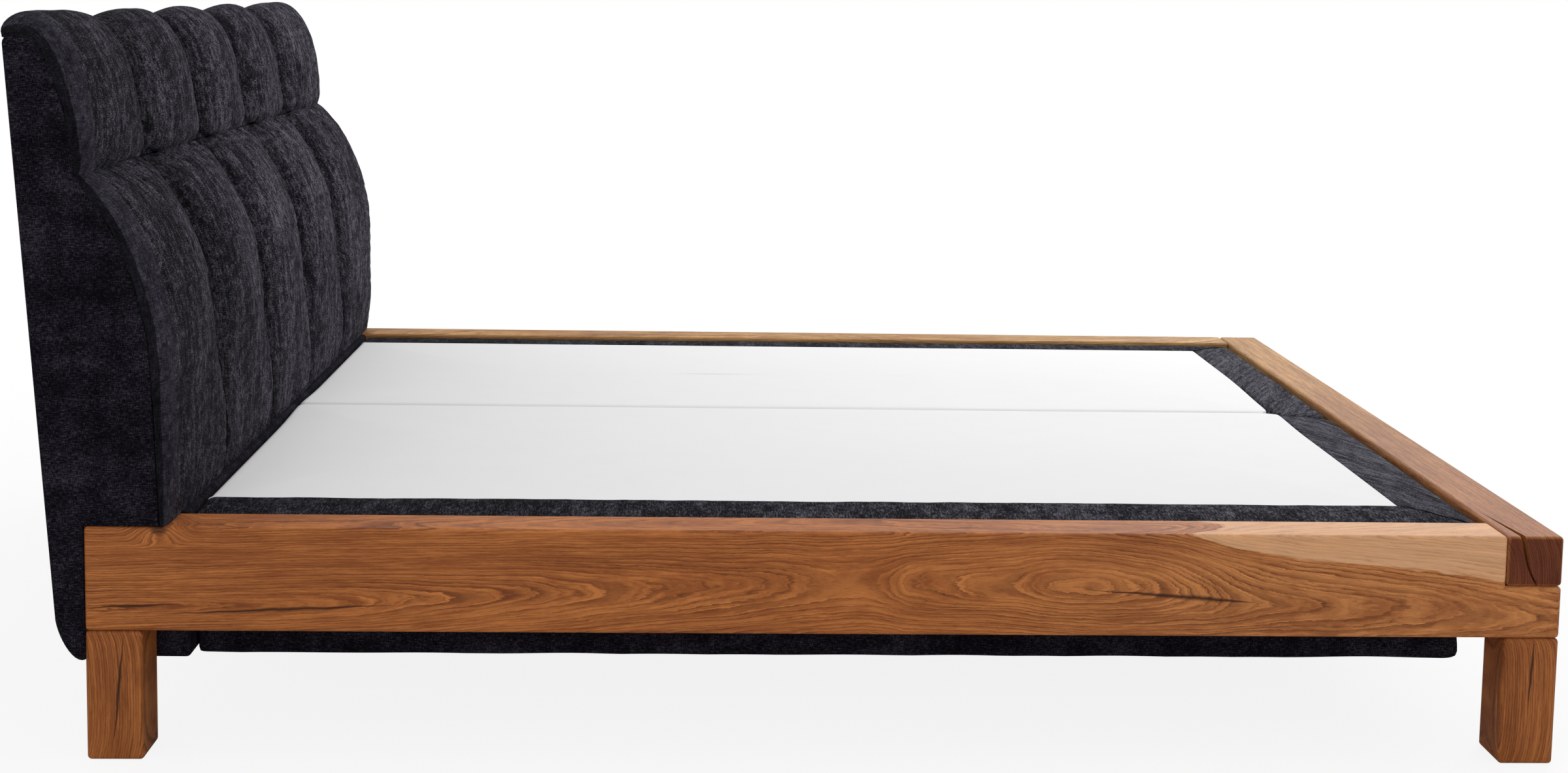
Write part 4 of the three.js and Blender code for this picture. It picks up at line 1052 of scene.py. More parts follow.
def padded_tier(name, line, edge, back, shape, seed, node):
    """A closed padded piece. `shape` gives its relief and seams at a distance from its start."""
    length = line_length(line)
    places = eased(length, 7 * MM, 2.0 * MM, 60 * MM)
    points, normals = resample(line, places)
    steps = np.concatenate([[0], np.cumsum(np.linalg.norm(np.diff(line, axis=0), axis=1))])
    sewn = np.stack([np.interp(places, steps, edge[:, k]) for k in (0, 1)], axis=1)
    shapes = [shape(place, length) for place in places]
    rings = []
    for y in stations():
        turn = min(1.0, (outer_half - abs(y)) / end_roll)
        rolled = math.sqrt(1 - (1 - turn) ** 2)
        front = []
        for (x, z), (nx, nz), (sx, sz), form in zip(points, normals, sewn, shapes):
            full, rim, roundness, groove, v, ripple = form
            low = seam_depth * groove * min(1.0, full / relief) * (0.1 + 0.9 * min(1.0, v / (75 * MM)))
            out = (full + low) * pillow(y, v, roundness, rim, groove) - low
            out += pucker(y, v, 2.0 * MM, 1.6 * MM, seed) * ripple * rolled
            px, pz = x + nx * out, z + nz * out
            front.append((rail_end + sx + (px - sx) * rolled, sz + (pz - sz) * rolled))
        limit = outer_half - 0.4 * MM
        width = max(-limit, min(limit, y))
        if abs(y) < panel_half:
            rear = [(rail_end + x, z) for x, z in back]
        else:
            shares = np.linspace(length, 0, len(back))
            lip = [np.interp(shares, places, sewn[:, k]) for k in (0, 1)]
            rear = [(rail_end + x - gap, z) for x, z in zip(*lip)]
        rings.append([(x, width, z) for x, z in front + rear])
    count, last = len(rings[0]), len(places) - 2
    held = []
    for row, y in enumerate(stations()):
        share = (y + outer_half) / channel_width % 1.0
        on_seam = min(share, 1 - share) * channel_width < 4 * MM and abs(y) < outer_half - end_roll
        on_seam = on_seam or outer_half - abs(y) < 14 * MM
        held += [row * count + column for column in range(count) if on_seam or column < 2 or column >= last]
    caps = [(2 * MM if z < 0.70 else 7 * MM) if outer_half - abs(y) > 45 * MM else 1.5 * MM
            for ring in rings for x, y, z in ring]
    mesh = swollen(skin(name, rings), held, 0.015, caps)
    piece = new_piece(name, mesh, chenille, "bed_frame", [node])
    print(name, len(piece.data.polygons), "faces")
    return piece


def lower_shape(place, length):
    """Relief, rim, roundness, groove, distance from the cross seam and ripple of the lower tier."""
    share = min(1.0, place / (bulge_start - lower_low.z))
    tucked = 0.25 + 0.75 * math.sin(min(1.0, place / (110 * MM)) * math.pi / 2)
    roundness, groove = (36 + 142 * share) * MM, 0.16 + 0.84 * share ** 1.3
    return relief * tucked, 24 * MM, roundness, groove, length - place, 0.6 + 0.4 * share


def upper_shape(place, length):
    """The same of the upper tier, which thins out behind its crest."""
    behind = math.sin(min(1.0, (length - place) / (62 * MM)) * math.pi / 2)
    return relief * behind, 24 * MM, 178 * MM, 1.0, place, behind


lower_back = [
    (lean(tier_z) + board_inset, tier_z - gap), (lean(0.862) + board_inset, 0.862),
    (0.030, 0.79), (0.058, 0.70), (0.070, 0.60), (0.072, 0.50), (0.072, lower_low.z)]
upper_back = [
    (lean(upper_line[-1][1]) + 5 * MM, upper_line[-1][1]), (lean(1.086) + board_inset, 1.086),
    (lean(1.0) + board_inset, 1.0), (lean(tier_z) + board_inset, tier_z + gap)]
padded_tier("lower_padding", lower_line, lower_edge, lower_back, lower_shape, 2.0,
            "headboard_lower_cushion")
padded_tier("upper_padding", upper_line, upper_edge, upper_back, upper_shape, 9.0,
            "headboard_upper_cushion")

# %% [markdown]
# ## Headboard covers
# The headboard's sides are flat upholstered panels, cut to the sewn edge. Their rim is rounded, and next
# to the roll of the padding it makes the thin dark line of the seam. The back is one cloth that is
# stretched down the lean and round under the foot, where it is stapled.

# %% Headboard covers
rim_round = 3.4 * MM
rim_gap = 1.8 * MM
corner_round = 12 * MM
cover_thickness = 5 * MM


def box_map(mesh):
    """Gives each face a weave map in metres, seen along the axis that it faces most."""
    cloth = mesh.uv_layers.get("cloth") or mesh.uv_layers.new(name="cloth")
    for polygon in mesh.polygons:
        facing = [abs(n) for n in polygon.normal]
        a, b = {0: (1, 2), 1: (0, 2), 2: (0, 1)}[facing.index(max(facing))]
        for loop in polygon.loop_indices:
            place = mesh.vertices[mesh.loops[loop].vertex_index].co
            cloth.data[loop].uv = (place[a], place[b])


def foot_round(inset, steps):
    """The lower back edge, a slanted curve from the lean's foot to the underside, pulled in by `inset`."""
    corners = np.array([
        (inset - foot_depth, foot_round_top), (0.8 * inset - 40 * MM, 188 * MM + 0.6 * inset),
        (0.4 * inset - 18 * MM, 147 * MM + 0.9 * inset), (-gap, cover_low.z + inset)])
    shares = np.linspace(0, 1, steps)[:, None]
    rest = 1 - shares
    weights = np.hstack([rest ** 3, 3 * rest ** 2 * shares, 3 * rest * shares ** 2, shares ** 3])
    return [tuple(point) for point in weights @ corners]


def cover_outline():
    """The side cover's outline: up the sewn edge, over the top and down the back."""
    def inside(line):
        steps = np.linalg.norm(np.diff(line, axis=0), axis=1)
        _, normals = resample(line, np.concatenate([[0], np.cumsum(steps)]))
        return [tuple(p) for p in line - normals * rim_gap]

    lower = inside(lower_edge)[::8]
    upper = [p for p in inside(upper_edge) if p[1] > lower[-1][1] + 4 * MM
             and p[0] > corner_round - overhang][::4]
    top = crest_z - crest_inset - hem_drop - rim_gap
    corner = [(corner_round * (1 - math.sin(a)) - overhang, top - corner_round * (1 - math.cos(a)))
              for a in np.linspace(0, math.pi / 2, 5)]
    return [*lower, *upper, *corner, *foot_round(0, 12), (-gap, lower_low.z)]


def side_cover(node, inner_y, outer_y):
    outline = [(rail_end + x, z) for x, z in cover_outline()]
    count = len(outline)
    vertices = [(x, y, z) for y in (inner_y, outer_y) for x, z in outline]
    faces = [tuple(range(count)), tuple(range(count, 2 * count))]
    faces += [(i, (i + 1) % count, (i + 1) % count + count, i + count) for i in range(count)]
    mesh = bpy.data.meshes.new(node)
    mesh.from_pydata(vertices, [], faces)
    form = bmesh.new()
    form.from_mesh(mesh)
    bmesh.ops.recalc_face_normals(form, faces=form.faces)
    weight = form.edges.layers.float.new("bevel_weight_edge")
    for edge in form.edges:
        outer = all(abs(abs(v.co.y) - outer_half) < 0.1 * MM for v in edge.verts)
        edge[weight] = 1.0 if outer else 0.0
    form.to_mesh(mesh)
    form.free()
    bevel = {"width": rim_round, "segments": 4, "limit_method": "WEIGHT", "use_clamp_overlap": False}
    mesh = finish_timber(baked(mesh, ("BEVEL", bevel)))
    box_map(mesh)
    return mesh


for side, sign in SIDES.items():
    node = f"headboard_side_cover_{side}"
    mesh = side_cover(node, sign * panel_half, sign * outer_half)
    new_piece(f"side_panel_{side}", mesh, side_weave, "bed_frame", [node])
    print("side panel", side, len(mesh.polygons), "faces")


def back_sheet():
    """The cloth back, as rings across the headboard, with a little slack between its fixings."""
    low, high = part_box("headboard_back_cover")
    top = high.z
    lean_line = [(lean(z), z) for z in np.linspace(top, foot_round_top, 40)[:-1]]
    outer = lean_line + foot_round(0, 14)
    inner = foot_round(cover_thickness, 14)[::-1] + [(lean(z) + cover_thickness, z)
                                                      for z in np.linspace(foot_round_top, top, 40)[1:]]
    rings = []
    for y in np.linspace(low.y, high.y, 72):
        ring = []
        for x, z in outer:
            slack = (cloud(y, z, 3.0, 4.5) * 1.2 + cloud(y, z, 8.0, 14) * 0.5) * MM
            ring.append((rail_end + x + abs(slack), y, z))
        ring += [(rail_end + x, y, z) for x, z in inner]
        rings.append(ring)
    return skin("back_sheet", rings)


new_piece("back_sheet", back_sheet(), back_lining, "bed_frame", ["headboard_back_cover"])

# %% [markdown]
# ## Apron
# Below the box tops the padding goes on down between the rails, where only its lower edge shows. It is
# one long bolster with soft edges.

# %% Apron


def rounded_ring(low, high, radius, steps=6):
    """A closed outline of a rounded rectangle: pairs, from its lower first corner round."""
    (a0, b0), (a1, b1) = low, high
    corners = [(a0 + radius, b0 + radius, math.pi), (a1 - radius, b0 + radius, 1.5 * math.pi),
               (a1 - radius, b1 - radius, 0.0), (a0 + radius, b1 - radius, 0.5 * math.pi)]
    return [(a + radius * math.cos(start + t), b + radius * math.sin(start + t))
            for a, b, start in corners for t in np.linspace(0, math.pi / 2, steps)]


def apron_skin():
    low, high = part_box("headboard_apron")
    stations_y = [(0.0, 4), (0.5, 2.2), (1.6, 1.0), (3.5, 0.3), (7, 0)]
    ends = [(low.y + t * MM, inset * MM) for t, inset in stations_y]
    middle = [(y, 0.0) for y in np.linspace(low.y + 40 * MM, high.y - 40 * MM, 60)]
    tail = [(high.y - t * MM, inset * MM) for t, inset in reversed(stations_y)]
    rings = []
    for y, inset in ends + middle + tail:
        ring = rounded_ring((low.x + inset, low.z + inset), (high.x - inset, high.z - inset), 7 * MM)
        rings.append([(x + (cloud(y, z, 1.0, 9) + 0.6) * MM, y, z + abs(cloud(y, x, 6.0, 7)) * 1.4 * MM)
                      if z < high.z - 20 * MM else (x, y, z) for x, z in ring])
    return skin("apron", rings)


apron = new_piece("apron_padding", apron_skin(), side_weave, "bed_frame",
                  ["headboard_apron"])

# %% [markdown]
# ## Box springs
# Each box is a sprung tray in a dark cover. On top lies a white stretch panel over foam, and along the
# outer side and the foot runs a padded dark border with a mitred corner. The cover's lower part is
# narrower, so that the box hangs on the ledges inside the frame. Three skins make it: the walls, the
# border and the white pad, each with rounded edges where it is sewn to the next.

# %% Box measures
boxes = {side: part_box(f"box_cover_{side}") for side in SIDES}
pads = {side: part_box(f"box_pad_{side}") for side in SIDES}
box_low, box_high = boxes["left"]
pad_low, pad_high = pads["left"]
pad_edge_z = box_high.z
border_width = box_high.x - pad_high.x
rebate = box_high.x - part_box("ledge_foot")[0].x + 6 * MM
step_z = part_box("ledge_foot")[1].z + gap
seam_z = pad_low.z
edge_drop = 5 * MM
ledge_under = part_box("ledge_foot")[0].z - 2 * MM
middle_round = 35 * MM
hem_hang = 13 * MM
hem_flare = 19 * MM
print("border", round(border_width / MM), "mm wide, rebate", round(rebate / MM), "mm")


def plan_ring(low, high, radii, counts):
    """A rounded rectangle in plan with its own radius at each corner: (x, y) from the low corner round."""
    (x0, y0), (x1, y1) = low, high
    corners = [(x0, y0, 1, 1, math.pi), (x1, y0, -1, 1, 1.5 * math.pi),
               (x1, y1, -1, -1, 0.0), (x0, y1, 1, -1, 0.5 * math.pi)]
    points = []
    for number, ((x, y, sx, sy, start), radius) in enumerate(zip(corners, radii)):
        centre = (x + sx * radius, y + sy * radius)
        arc = [(centre[0] + radius * math.cos(start + t), centre[1] + radius * math.sin(start + t))
               for t in np.linspace(0, math.pi / 2, 7)]
        points += arc
        nx, ny, nsx, nsy, nstart = corners[(number + 1) % 4]
        reach = radii[(number + 1) % 4]
        first = (nx + nsx * reach + reach * math.cos(nstart), ny + nsy * reach + reach * math.sin(nstart))
        steps = counts[number % 2]
        points += [(arc[-1][0] + (first[0] - arc[-1][0]) * i / steps,
                    arc[-1][1] + (first[1] - arc[-1][1]) * i / steps)
                   for i in range(1, steps)]
    return points


def mirrored(rings, sign):
    """Rings of the left box, or their mirror image for the right one."""
    return [[(x, y * sign, z) for x, y, z in (ring if sign > 0 else ring[::-1])] for ring in rings]


# %% Box walls
def wall_rings():
    soft = 7 * MM
    levels = [(z, rebate + inset) for z, inset in (
        (box_low.z, soft), (box_low.z + 0.8 * MM, 0.6 * soft),
        (box_low.z + 2.4 * MM, 0.25 * soft), (box_low.z + soft, 0))]
    levels += [(z, rebate) for z in np.linspace(box_low.z + 14 * MM, step_z - 3 * MM, 7)]
    levels += [(step_z, rebate - 2 * MM), (step_z + 0.1 * MM, 3 * MM), (step_z + 2 * MM, 0.6 * MM)]
    levels += [(z, 0.0) for z in np.linspace(step_z + 6 * MM, seam_z - 5 * MM, 5)]
    levels += [(seam_z - 2 * MM, 1.0 * MM), (seam_z - 0.6 * MM, 4 * MM)]
    levels = [(box_low.z + 0.5 * MM, rebate + 4 * soft), *levels]
    rings = []
    for number, (z, inset) in enumerate(levels):
        flare = hem_flare * (1 - min(1.0, (z - box_low.z) / (ledge_under - box_low.z)) ** 2)
        inner = max(0.0, inset - rebate) if z < step_z - 1 * MM else inset * (inset < rebate * 0.5)
        low = (box_low.x + inner, box_low.y + inner)
        high = (box_high.x - inset, box_high.y - inset)
        ring = []
        for x, y in plan_ring(low, high, (4 * MM, middle_round, 14 * MM, 4 * MM), (72, 28)):
            sag = abs(cloud(x, y, z, 6)) * 2.0 * MM if z < step_z - 1 * MM else 0.0
            toward_x = -1 if x > (low[0] + high[0]) / 2 else 0.2
            toward_y = -1 if y > (low[1] + high[1]) / 2 else 1
            on_end = min(x - low[0], high[0] - x) < min(y - low[1], high[1] - y)
            outer = min(1.0, max(0.0, (y - 0.2) / 0.3))
            hang = hem_hang * outer * max(0.0, 1 - (z - box_low.z) / (24 * MM)) * (number > 0)
            at_foot = flare * max(0.0, min(1.0, (x - high[0] + 40 * MM) / (40 * MM))) * (number > 0)
            place = (x + toward_x * sag * on_end + at_foot, y + toward_y * sag * (not on_end),
                     z + sag * (number < 3) - hang)
            ring.append(place)
        rings.append(ring)
    return rings


for side, sign in SIDES.items():
    mesh = skin(f"box_walls_{side}", mirrored(wall_rings(), sign), smooth_angle=60)
    box_map(mesh)
    new_piece(f"box_walls_{side}", mesh, side_weave, f"box_{side}", [f"box_cover_{side}"])


# %% Box borders
def border_section():
    """The border's outline: (distance in from the box's edge, height), from the inner foot round."""
    shoulder = 13 * MM
    top_edge = pad_edge_z - edge_drop
    base = seam_z - 0.3 * MM
    inner = border_width + 9 * MM
    outline = [(inner, base + 1 * MM), (inner * 0.5, base), (4 * MM, base),
               (1 * MM, base + 1.2 * MM), (0.2 * MM, base + 5 * MM)]
    outline += [(shoulder - shoulder * math.cos(a), top_edge - shoulder * 0.9 + shoulder * 0.9 * math.sin(a))
                for a in np.linspace(0.1, math.pi / 2, 7)]
    rise = [(shoulder + (inner - shoulder) * t,
             top_edge + edge_drop * 1.02 * math.sin(t * math.pi / 2) ** 0.9)
            for t in np.linspace(0, 0.93, 16)[1:]]
    outline += rise
    last_u, last_z = rise[-1]
    outline += [(last_u + (inner - last_u) * math.sin(a), last_z - 5 * MM * (1 - math.cos(a)))
                for a in np.linspace(0, math.pi / 2, 5)[1:]]
    return outline


def corner_place(u, turn):
    """A point of the border's corner: `turn` is 0 at the side, 0.5 on the mitre and 1 at the foot."""
    radius = 14 * MM - 11 * MM * u / border_width
    centre = (box_high.x - u - radius, box_high.y - u - radius)
    angle = math.pi / 2 * (1 - turn)
    return centre[0] + radius * math.cos(angle), centre[1] + radius * math.sin(angle)


def border_rings():
    section = border_section()
    start = box_low.x + 0.6 * MM
    side_end = box_high.x - border_width - 16 * MM
    foot_start = box_high.y - border_width - 16 * MM
    finish_y = box_low.y + 0.2 * MM
    ends = [0.0, 0.8 * MM, 2.4 * MM, 5 * MM, 9 * MM, 14 * MM]
    along_side = [start + t for t in ends] + list(np.linspace(start + 28 * MM, side_end, 120))
    along_foot = list(np.linspace(foot_start, finish_y + 28 * MM, 44))
    along_foot += [finish_y + t for t in reversed(ends)]
    rings = []

    def end_pull(distance):
        share = min(1.0, distance / (14 * MM))
        return 9 * MM * (1 - math.sqrt(1 - (1 - share) ** 2))

    def shaped(x, y, z, pull, crease):
        if z < seam_z + 8 * MM:
            return x, y, z + min(pull, 4 * MM) * 0
        lift = (cloud(x, y, 2.0, 11) * 1.0 + cloud(x, y, 7.0, 38) * 0.5) * MM
        return x, y, z - pull - crease + lift * (1 - min(1.0, crease / (2 * MM)))

    for x in along_side:
        rings.append([shaped(x, box_high.y - u, z, end_pull(x - start), 0.0) for u, z in section])
    turns = [0.0, 0.12, 0.22, 0.32, 0.4, 0.45, 0.48, 0.5, 0.52, 0.55, 0.6, 0.68, 0.78, 0.88, 1.0]
    for turn in turns:
        ring = []
        for u, z in section:
            x, y = corner_place(u, turn)
            if turn in (0.0, 1.0):
                crease = 0.0
            else:
                away = turn - 0.5
                crease = 5.5 * MM * math.exp(-((away / 0.06) ** 2))
                crease += 1.5 * MM * math.exp(-((away / 0.3) ** 2))
            if turn == 0.0:
                x = min(x, box_high.x - border_width)
            if turn == 1.0:
                y = min(y, box_high.y - border_width)
            ring.append(shaped(x, y, z, 0.0, crease))
        rings.append(ring)
    for y in along_foot:
        short = max(0.0, middle_round - (y - box_low.y))
        cut = middle_round - math.sqrt(middle_round ** 2 - short ** 2)
        rings.append([shaped(box_high.x - u - cut * (1 - u / border_width),
                             y, z, end_pull(y - finish_y), 0.0)
                      for u, z in section])
    return rings


for side, sign in SIDES.items():
    mesh = skin(f"box_border_{side}", mirrored(border_rings(), sign), smooth_angle=70)
    border = new_piece(f"box_border_{side}", mesh, border_weave, f"box_{side}",
                       [f"box_cover_{side}"])


# %% White pads
inner_swell = 5.5 * MM
foot_short = 7 * MM
foot_bow = {"left": 20 * MM, "right": 5 * MM}
bow_reach = 420 * MM


def pad_rings(bow):
    """A pad as rings from its foot up and inwards. `bow` draws its foot edge in towards the bed's middle."""
    crown = pad_high.z - pad_edge_z
    soft = 12 * MM
    base = seam_z + 0.3 * MM
    wall = [(base, 1.5 * MM), (base + 1.5 * MM, 0.4 * MM), (base + 6 * MM, 0.0), (base + 18 * MM, 0.0)]
    insets = [0.0, 0.7, 2.0, 4.0, 6.5, 9.0, 12.0, 18.0, 30.0, 50.0, 80.0, 120.0, 170.0, 225.0, 280.0, 325.0]
    half = (pad_high.y - pad_low.y) / 2
    radii = (12 * MM, 26 * MM, 5 * MM, 6 * MM)
    rings = []
    for z, inset in wall:
        low = (pad_low.x + inset, pad_low.y + inset)
        high = (pad_high.x - inset, pad_high.y - inset)
        rings.append([(x, y, z) for x, y in plan_ring(low, high, radii, (96, 36))])
    for inset in (i * MM for i in insets):
        low = (pad_low.x + inset, pad_low.y + inset)
        high = (pad_high.x - inset, pad_high.y - inset)
        inner_radii = [max(3 * MM, r - inset * 0.5) for r in radii]
        rise = crown * math.sin(min(1.0, inset / half) * math.pi / 2) ** 1.3
        rolled = soft * (1 - math.sqrt(1 - (1 - min(1.0, inset / soft)) ** 2))
        sewn = 4 * MM * (1 - math.sqrt(1 - (1 - min(1.0, inset / (7 * MM))) ** 2))
        ring = []
        for x, y in plan_ring(low, high, inner_radii, (96, 36)):
            toward_sewn = min(pad_high.x - x, pad_high.y - y)
            toward_open = min(x - pad_low.x, y - pad_low.y)
            drop = rolled if toward_open < toward_sewn else sewn
            calm = min(1.0, inset / (25 * MM))
            wave = (cloud(x, y, 4.0, 3.2) * 1.1 + cloud(x, y, 9.0, 11) * 0.35) * MM * calm
            wave += inner_swell * math.exp(-(((y - pad_low.y) / (110 * MM)) ** 2))
            ring.append((x, y, pad_edge_z - 0.6 * MM + rise * 0.86 - drop + wave))
        rings.append(ring)

    def drawn(x, y):
        share = max(0.0, 1 - (y - pad_low.y) / bow_reach)
        toward_foot = max(0.0, (x - pad_low.x) / (pad_high.x - pad_low.x))
        return x - (foot_short + bow * share * share) * toward_foot ** 3

    return [[(drawn(x, y), y, z) for x, y, z in ring] for ring in rings]


for side, sign in SIDES.items():
    mesh = skin(f"white_pad_{side}", mirrored(pad_rings(foot_bow[side]), sign), smooth_angle=60)
    box_map(mesh)
    pad = new_piece(f"white_pad_{side}", mesh, jersey, f"box_{side}", [f"box_pad_{side}"])

# %% [markdown]
# ## Springs
# Inside each box stands a block of springs in cloth pockets, side by side. One pocket is a barrel of a
# few dozen faces, and Geometry Nodes set a copy on every point of a grid, which is the shortest way
# to several hundred like pieces. The tree names its sizes as inputs, turns the copies into real
# geometry at its end, and gives them their finish.

# %% Pocketed springs
pocket_cloth = Finish("pocket_cloth", Roughness=0.85, Specular_IOR_Level=0.2)
pocket_place = pocket_cloth.object_place()
pocket_fibres = pocket_cloth.noise(pocket_place, (420, 420, 420), detail=3)
pocket_cloth.set(Base_Color=pocket_cloth.mix(pocket_fibres, srgb(196, 198, 200), srgb(226, 226, 224)))
pocket_cloth.bump(pocket_fibres, 0.3 * MM, 0.4)


class NodeTree:
    """A Geometry Nodes tree with named inputs, and one method that adds any node."""

    def __init__(self, name, inputs):
        self.tree = bpy.data.node_groups.new(name, "GeometryNodeTree")
        face = self.tree.interface
        face.new_socket("Geometry", in_out="INPUT", socket_type="NodeSocketGeometry")
        self.sockets = {}
        for label, kind in inputs:
            self.sockets[label] = face.new_socket(label, in_out="INPUT", socket_type=f"NodeSocket{kind}")
        face.new_socket("Geometry", in_out="OUTPUT", socket_type="NodeSocketGeometry")
        self.start = self.tree.nodes.new("NodeGroupInput")
        self.end = self.tree.nodes.new("NodeGroupOutput")

    def given(self, label):
        return self.start.outputs[label]

    def add(self, kind, sockets, settings=None, output=0):
        node = self.tree.nodes.new(kind)
        for name, value in (settings or {}).items():
            setattr(node, name, value)
        for name, value in sockets.items():
            if isinstance(value, bpy.types.NodeSocket):
                self.tree.links.new(value, node.inputs[name])
            else:
                node.inputs[name].default_value = value
        return node.outputs[output]

    def maths(self, operation, first, second):
        return self.add("ShaderNodeMath", {0: first, 1: second}, {"operation": operation})

    def close(self, geometry, finish):
        real = self.add("GeometryNodeRealizeInstances", {"Geometry": geometry})
        dressed = self.add("GeometryNodeSetMaterial", {"Geometry": real, "Material": finish.material})
        self.tree.links.new(dressed, self.end.inputs[0])

    def made(self, name, values):
        """The tree's result as a plain mesh, with its inputs set by their identifiers."""
        holder = bpy.data.objects.new(name, bpy.data.meshes.new(name))
        bpy.context.scene.collection.objects.link(holder)
        modifier = holder.modifiers.new(name, "NODES")
        modifier.node_group = self.tree
        for label, value in values.items():
            modifier[self.sockets[label].identifier] = value
        graph = bpy.context.evaluated_depsgraph_get()
        mesh = bpy.data.meshes.new_from_object(holder.evaluated_get(graph), depsgraph=graph)
        bpy.data.objects.remove(holder)
        return mesh


def pocket_tree():
    tree = NodeTree("pockets", [
        ("Length", "Float"), ("Width", "Float"), ("Height", "Float"), ("Rows", "Int"), ("Columns", "Int"),
        ("Radius", "Float"), ("Waist", "Float"), ("Centre", "Vector")])
    grid = tree.add("GeometryNodeMeshGrid", {
        "Size X": tree.given("Length"), "Size Y": tree.given("Width"),
        "Vertices X": tree.given("Columns"), "Vertices Y": tree.given("Rows")})
    pocket = tree.add("GeometryNodeMeshCylinder", {
        "Vertices": 10, "Side Segments": 4, "Fill Segments": 1,
        "Radius": tree.given("Radius"), "Depth": tree.given("Height")})
    place = tree.add("GeometryNodeInputPosition", {})
    split = tree.tree.nodes.new("ShaderNodeSeparateXYZ")
    tree.tree.links.new(place, split.inputs[0])
    level = tree.maths("DIVIDE", split.outputs["Z"], tree.given("Height"))
    bow = tree.maths("MULTIPLY", level, level)
    squeeze = tree.maths("MULTIPLY", tree.maths("MULTIPLY", bow, 4.0), tree.given("Waist"))
    factor = tree.maths("SUBTRACT", 1.0, squeeze)
    narrowed = tree.add("ShaderNodeCombineXYZ", {
        "X": tree.maths("MULTIPLY", split.outputs["X"], factor),
        "Y": tree.maths("MULTIPLY", split.outputs["Y"], factor), "Z": split.outputs["Z"]})
    barrel = tree.add("GeometryNodeSetPosition", {"Geometry": pocket, "Position": narrowed})
    spread = tree.add("GeometryNodeInstanceOnPoints", {"Points": grid, "Instance": barrel})
    real = tree.add("GeometryNodeRealizeInstances", {"Geometry": spread})
    seated = tree.add("GeometryNodeSetPosition", {"Geometry": real, "Offset": tree.given("Centre")})
    tree.close(seated, pocket_cloth)
    return tree


pockets = pocket_tree()
spring_rows, spring_columns = 12, 33
for side in SIDES:
    low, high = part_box(f"spring_block_{side}")
    pitch = min((high.x - low.x) / spring_columns, (high.y - low.y) / spring_rows)
    mesh = pockets.made("pockets", {
        "Length": (high.x - low.x) - pitch, "Width": (high.y - low.y) - pitch, "Height": high.z - low.z,
        "Rows": spring_rows, "Columns": spring_columns, "Radius": pitch / 2 - 0.3 * MM, "Waist": 0.16,
        "Centre": ((low.x + high.x) / 2, (low.y + high.y) / 2, (low.z + high.z) / 2)})
    new_piece(f"pocket_springs_{side}", mesh, pocket_cloth, f"box_{side}",
              [f"spring_block_{side}"])
    print("pockets", side, len(mesh.polygons), "faces")

# %% [markdown]
# ## Edge foam
# A foam rail runs round the springs and holds the box's edge square. It is one soft-edged section
# swept round a rectangle.

# %% Edge foam
foam = Finish("edge_foam", Roughness=0.95, Specular_IOR_Level=0.1)
foam_place = foam.object_place()
foam_cells = foam.noise(foam_place, (700, 700, 700), detail=3, roughness=0.7)
foam.set(Base_Color=foam.mix(foam_cells, srgb(206, 196, 150), srgb(236, 229, 192)))
foam.bump(foam_cells, 0.5 * MM, 0.6)


def foam_mesh(side):
    low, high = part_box(f"edge_foam_{side}")
    inner_low, inner_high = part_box(f"spring_block_{side}")
    width = inner_low.x - low.x - 1 * MM
    sign = SIDES[side]
    section = rounded_ring((0.0, low.z), (width, high.z), 5 * MM, steps=4)
    near, far = sorted((abs(low.y), abs(high.y)))
    path_counts = (40, 16)
    rings = []
    for u, z in section:
        ring = plan_ring((low.x + u, near + u), (high.x - u, far - u), (6 * MM,) * 4, path_counts)
        rings.append([(x, y * sign, z) for x, y in ring])
    rings.append(rings[0])
    mesh = skin(f"edge_foam_{side}", rings, caps=(False, False))
    form = bmesh.new()
    form.from_mesh(mesh)
    bmesh.ops.remove_doubles(form, verts=form.verts, dist=0.01 * MM)
    bmesh.ops.recalc_face_normals(form, faces=form.faces)
    form.to_mesh(mesh)
    form.free()
    return mesh


for side in SIDES:
    new_piece(f"foam_rail_{side}", foam_mesh(side), foam, f"box_{side}", [f"edge_foam_{side}"])

# %% [markdown]
# ## Inner timber and fittings
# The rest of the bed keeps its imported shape, because it is plain sawn board and turned steel. Each kind
# gets its own finish: spruce with straight rings, birch plywood, bright zinc, black paint over steel
# and moulded plastic.

# %% Inner finishes


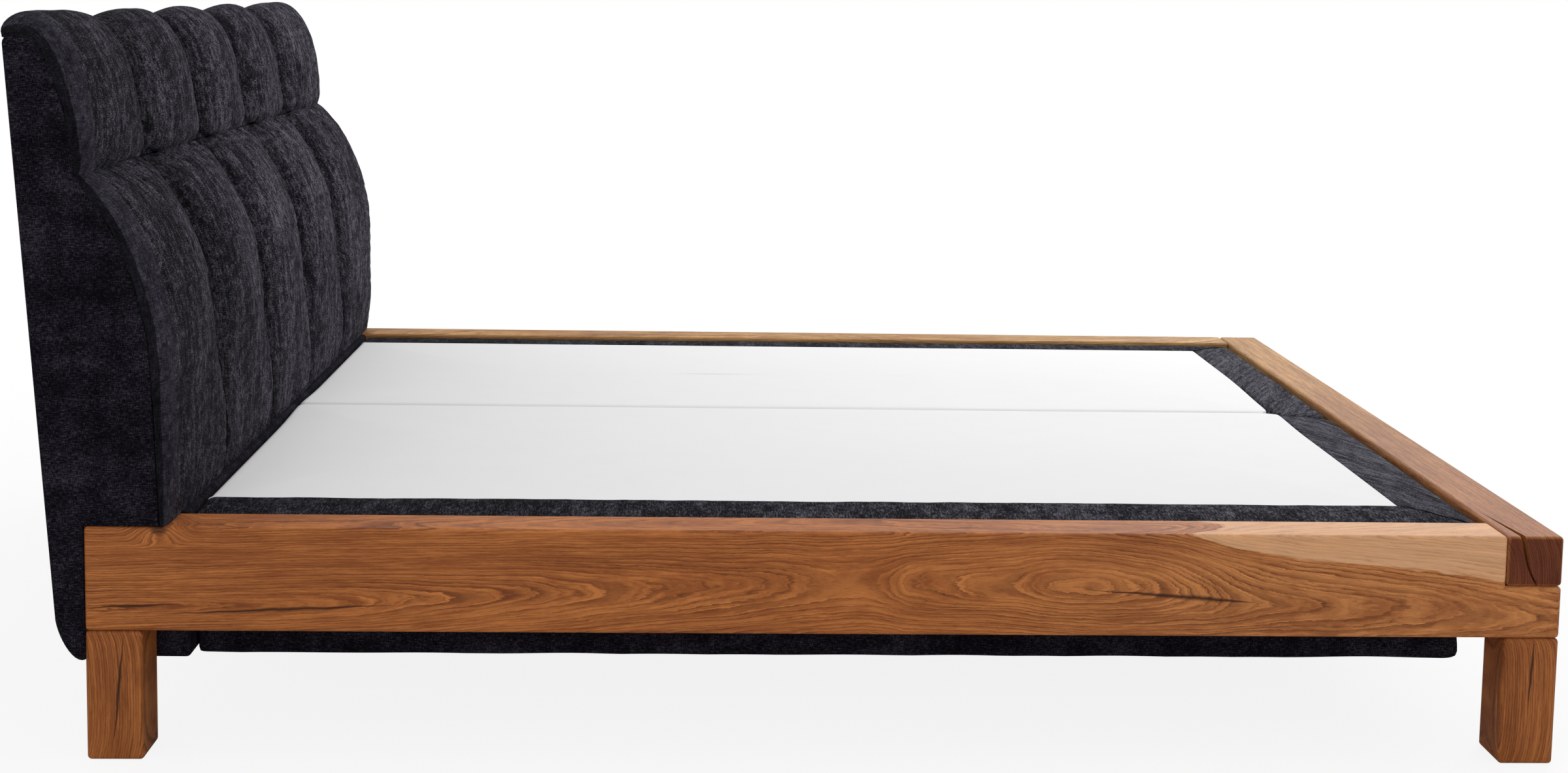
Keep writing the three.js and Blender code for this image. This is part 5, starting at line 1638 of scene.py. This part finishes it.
def spruce(name, grain):
    """Planed softwood with the grain along one axis."""
    wood = Finish(name, Roughness=0.6, Specular_IOR_Level=0.3)
    place = wood.object_place()
    axes = wood.parts(place)
    across = [axis for number, axis in enumerate(axes) if number != grain]
    wander = wood.noise(place, tuple(1.2 if number == grain else 14 for number in range(3)), detail=2) - 0.5
    fine = wood.noise(place, tuple(20 if number == grain else 700 for number in range(3)), detail=3)
    rings = ((across[0] * 0.8 + across[1] * 0.6) / (4.2 * MM) + wander * 9).fraction()
    late = rings.between(0.45, 0.9) * (1 - rings.between(0.93, 1.0))
    colour = wood.mix(fine, srgb(206, 170, 118), srgb(226, 196, 148))
    wood.set(Base_Color=wood.mix(late * 0.6, colour, srgb(176, 126, 76)), Roughness=0.55 + fine * 0.15)
    wood.bump(fine - late * 0.4, 0.2 * MM, 0.4)
    return wood


def plain(name, dark, light, rough, grain_scale, depth, **surface):
    """An even finish with a fine mottle in its colour and its gloss."""
    coat = Finish(name, **surface)
    place = coat.object_place()
    mottle = coat.noise(place, grain_scale, detail=4, roughness=0.6)
    wear = coat.noise(place, (35, 35, 35), detail=3)
    coat.set(Base_Color=coat.mix(mottle, dark, light), Roughness=rough + (wear - 0.5) * 0.2)
    coat.bump(mottle, depth, 0.3)
    return coat


spruce_long = spruce("spruce_along_bed", 0)
spruce_across = spruce("spruce_across_bed", 1)
spruce_upright = spruce("spruce_upright", 2)
birch_ply = plain("birch_plywood", srgb(188, 148, 96), srgb(216, 180, 128), 0.6, (160, 9, 160), 0.15 * MM)
zinc = plain("zinc_plate", srgb(150, 152, 156), srgb(184, 186, 188),
             0.34, (240, 240, 240), 0.05 * MM, Metallic=1.0)
black_coat = plain("black_paint", srgb(26, 27, 30), srgb(40, 41, 45), 0.45, (900, 900, 900), 0.1 * MM)
black_plastic = plain("black_plastic", srgb(22, 22, 24), srgb(34, 34, 37),
                      0.5, (1200, 1200, 1200), 0.08 * MM)

by_word = [
    ("headboard_bolt", zinc), ("leg_bolt", zinc), ("beam_bolt", zinc),
    ("cross_nut", zinc), ("ledge_screw", zinc),
    ("bearer_hanger", black_coat), ("glide", black_plastic),
    ("headboard_side_", birch_ply), ("headboard_rib", birch_ply),
    ("headboard_under_board", birch_ply), ("headboard_upper_board", birch_ply),
    ("headboard_lower_board", birch_ply),
    ("rail", spruce_across), ("ledge_foot", spruce_across), ("bearer_leg", spruce_upright),
    ("ledge", spruce_long),
    ("bearer", spruce_long), ("box_tray", spruce_long)]
kept = 0
for name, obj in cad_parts.items():
    if obj.hide_render:
        continue
    finish = next((coat for word, coat in by_word if word in name), None)
    if finish is None:
        print("no finish for", name)
        continue
    for place in range(len(obj.material_slots)):
        obj.material_slots[place].material = finish.material
    kept += 1
print("packed pieces with a new finish:", kept)
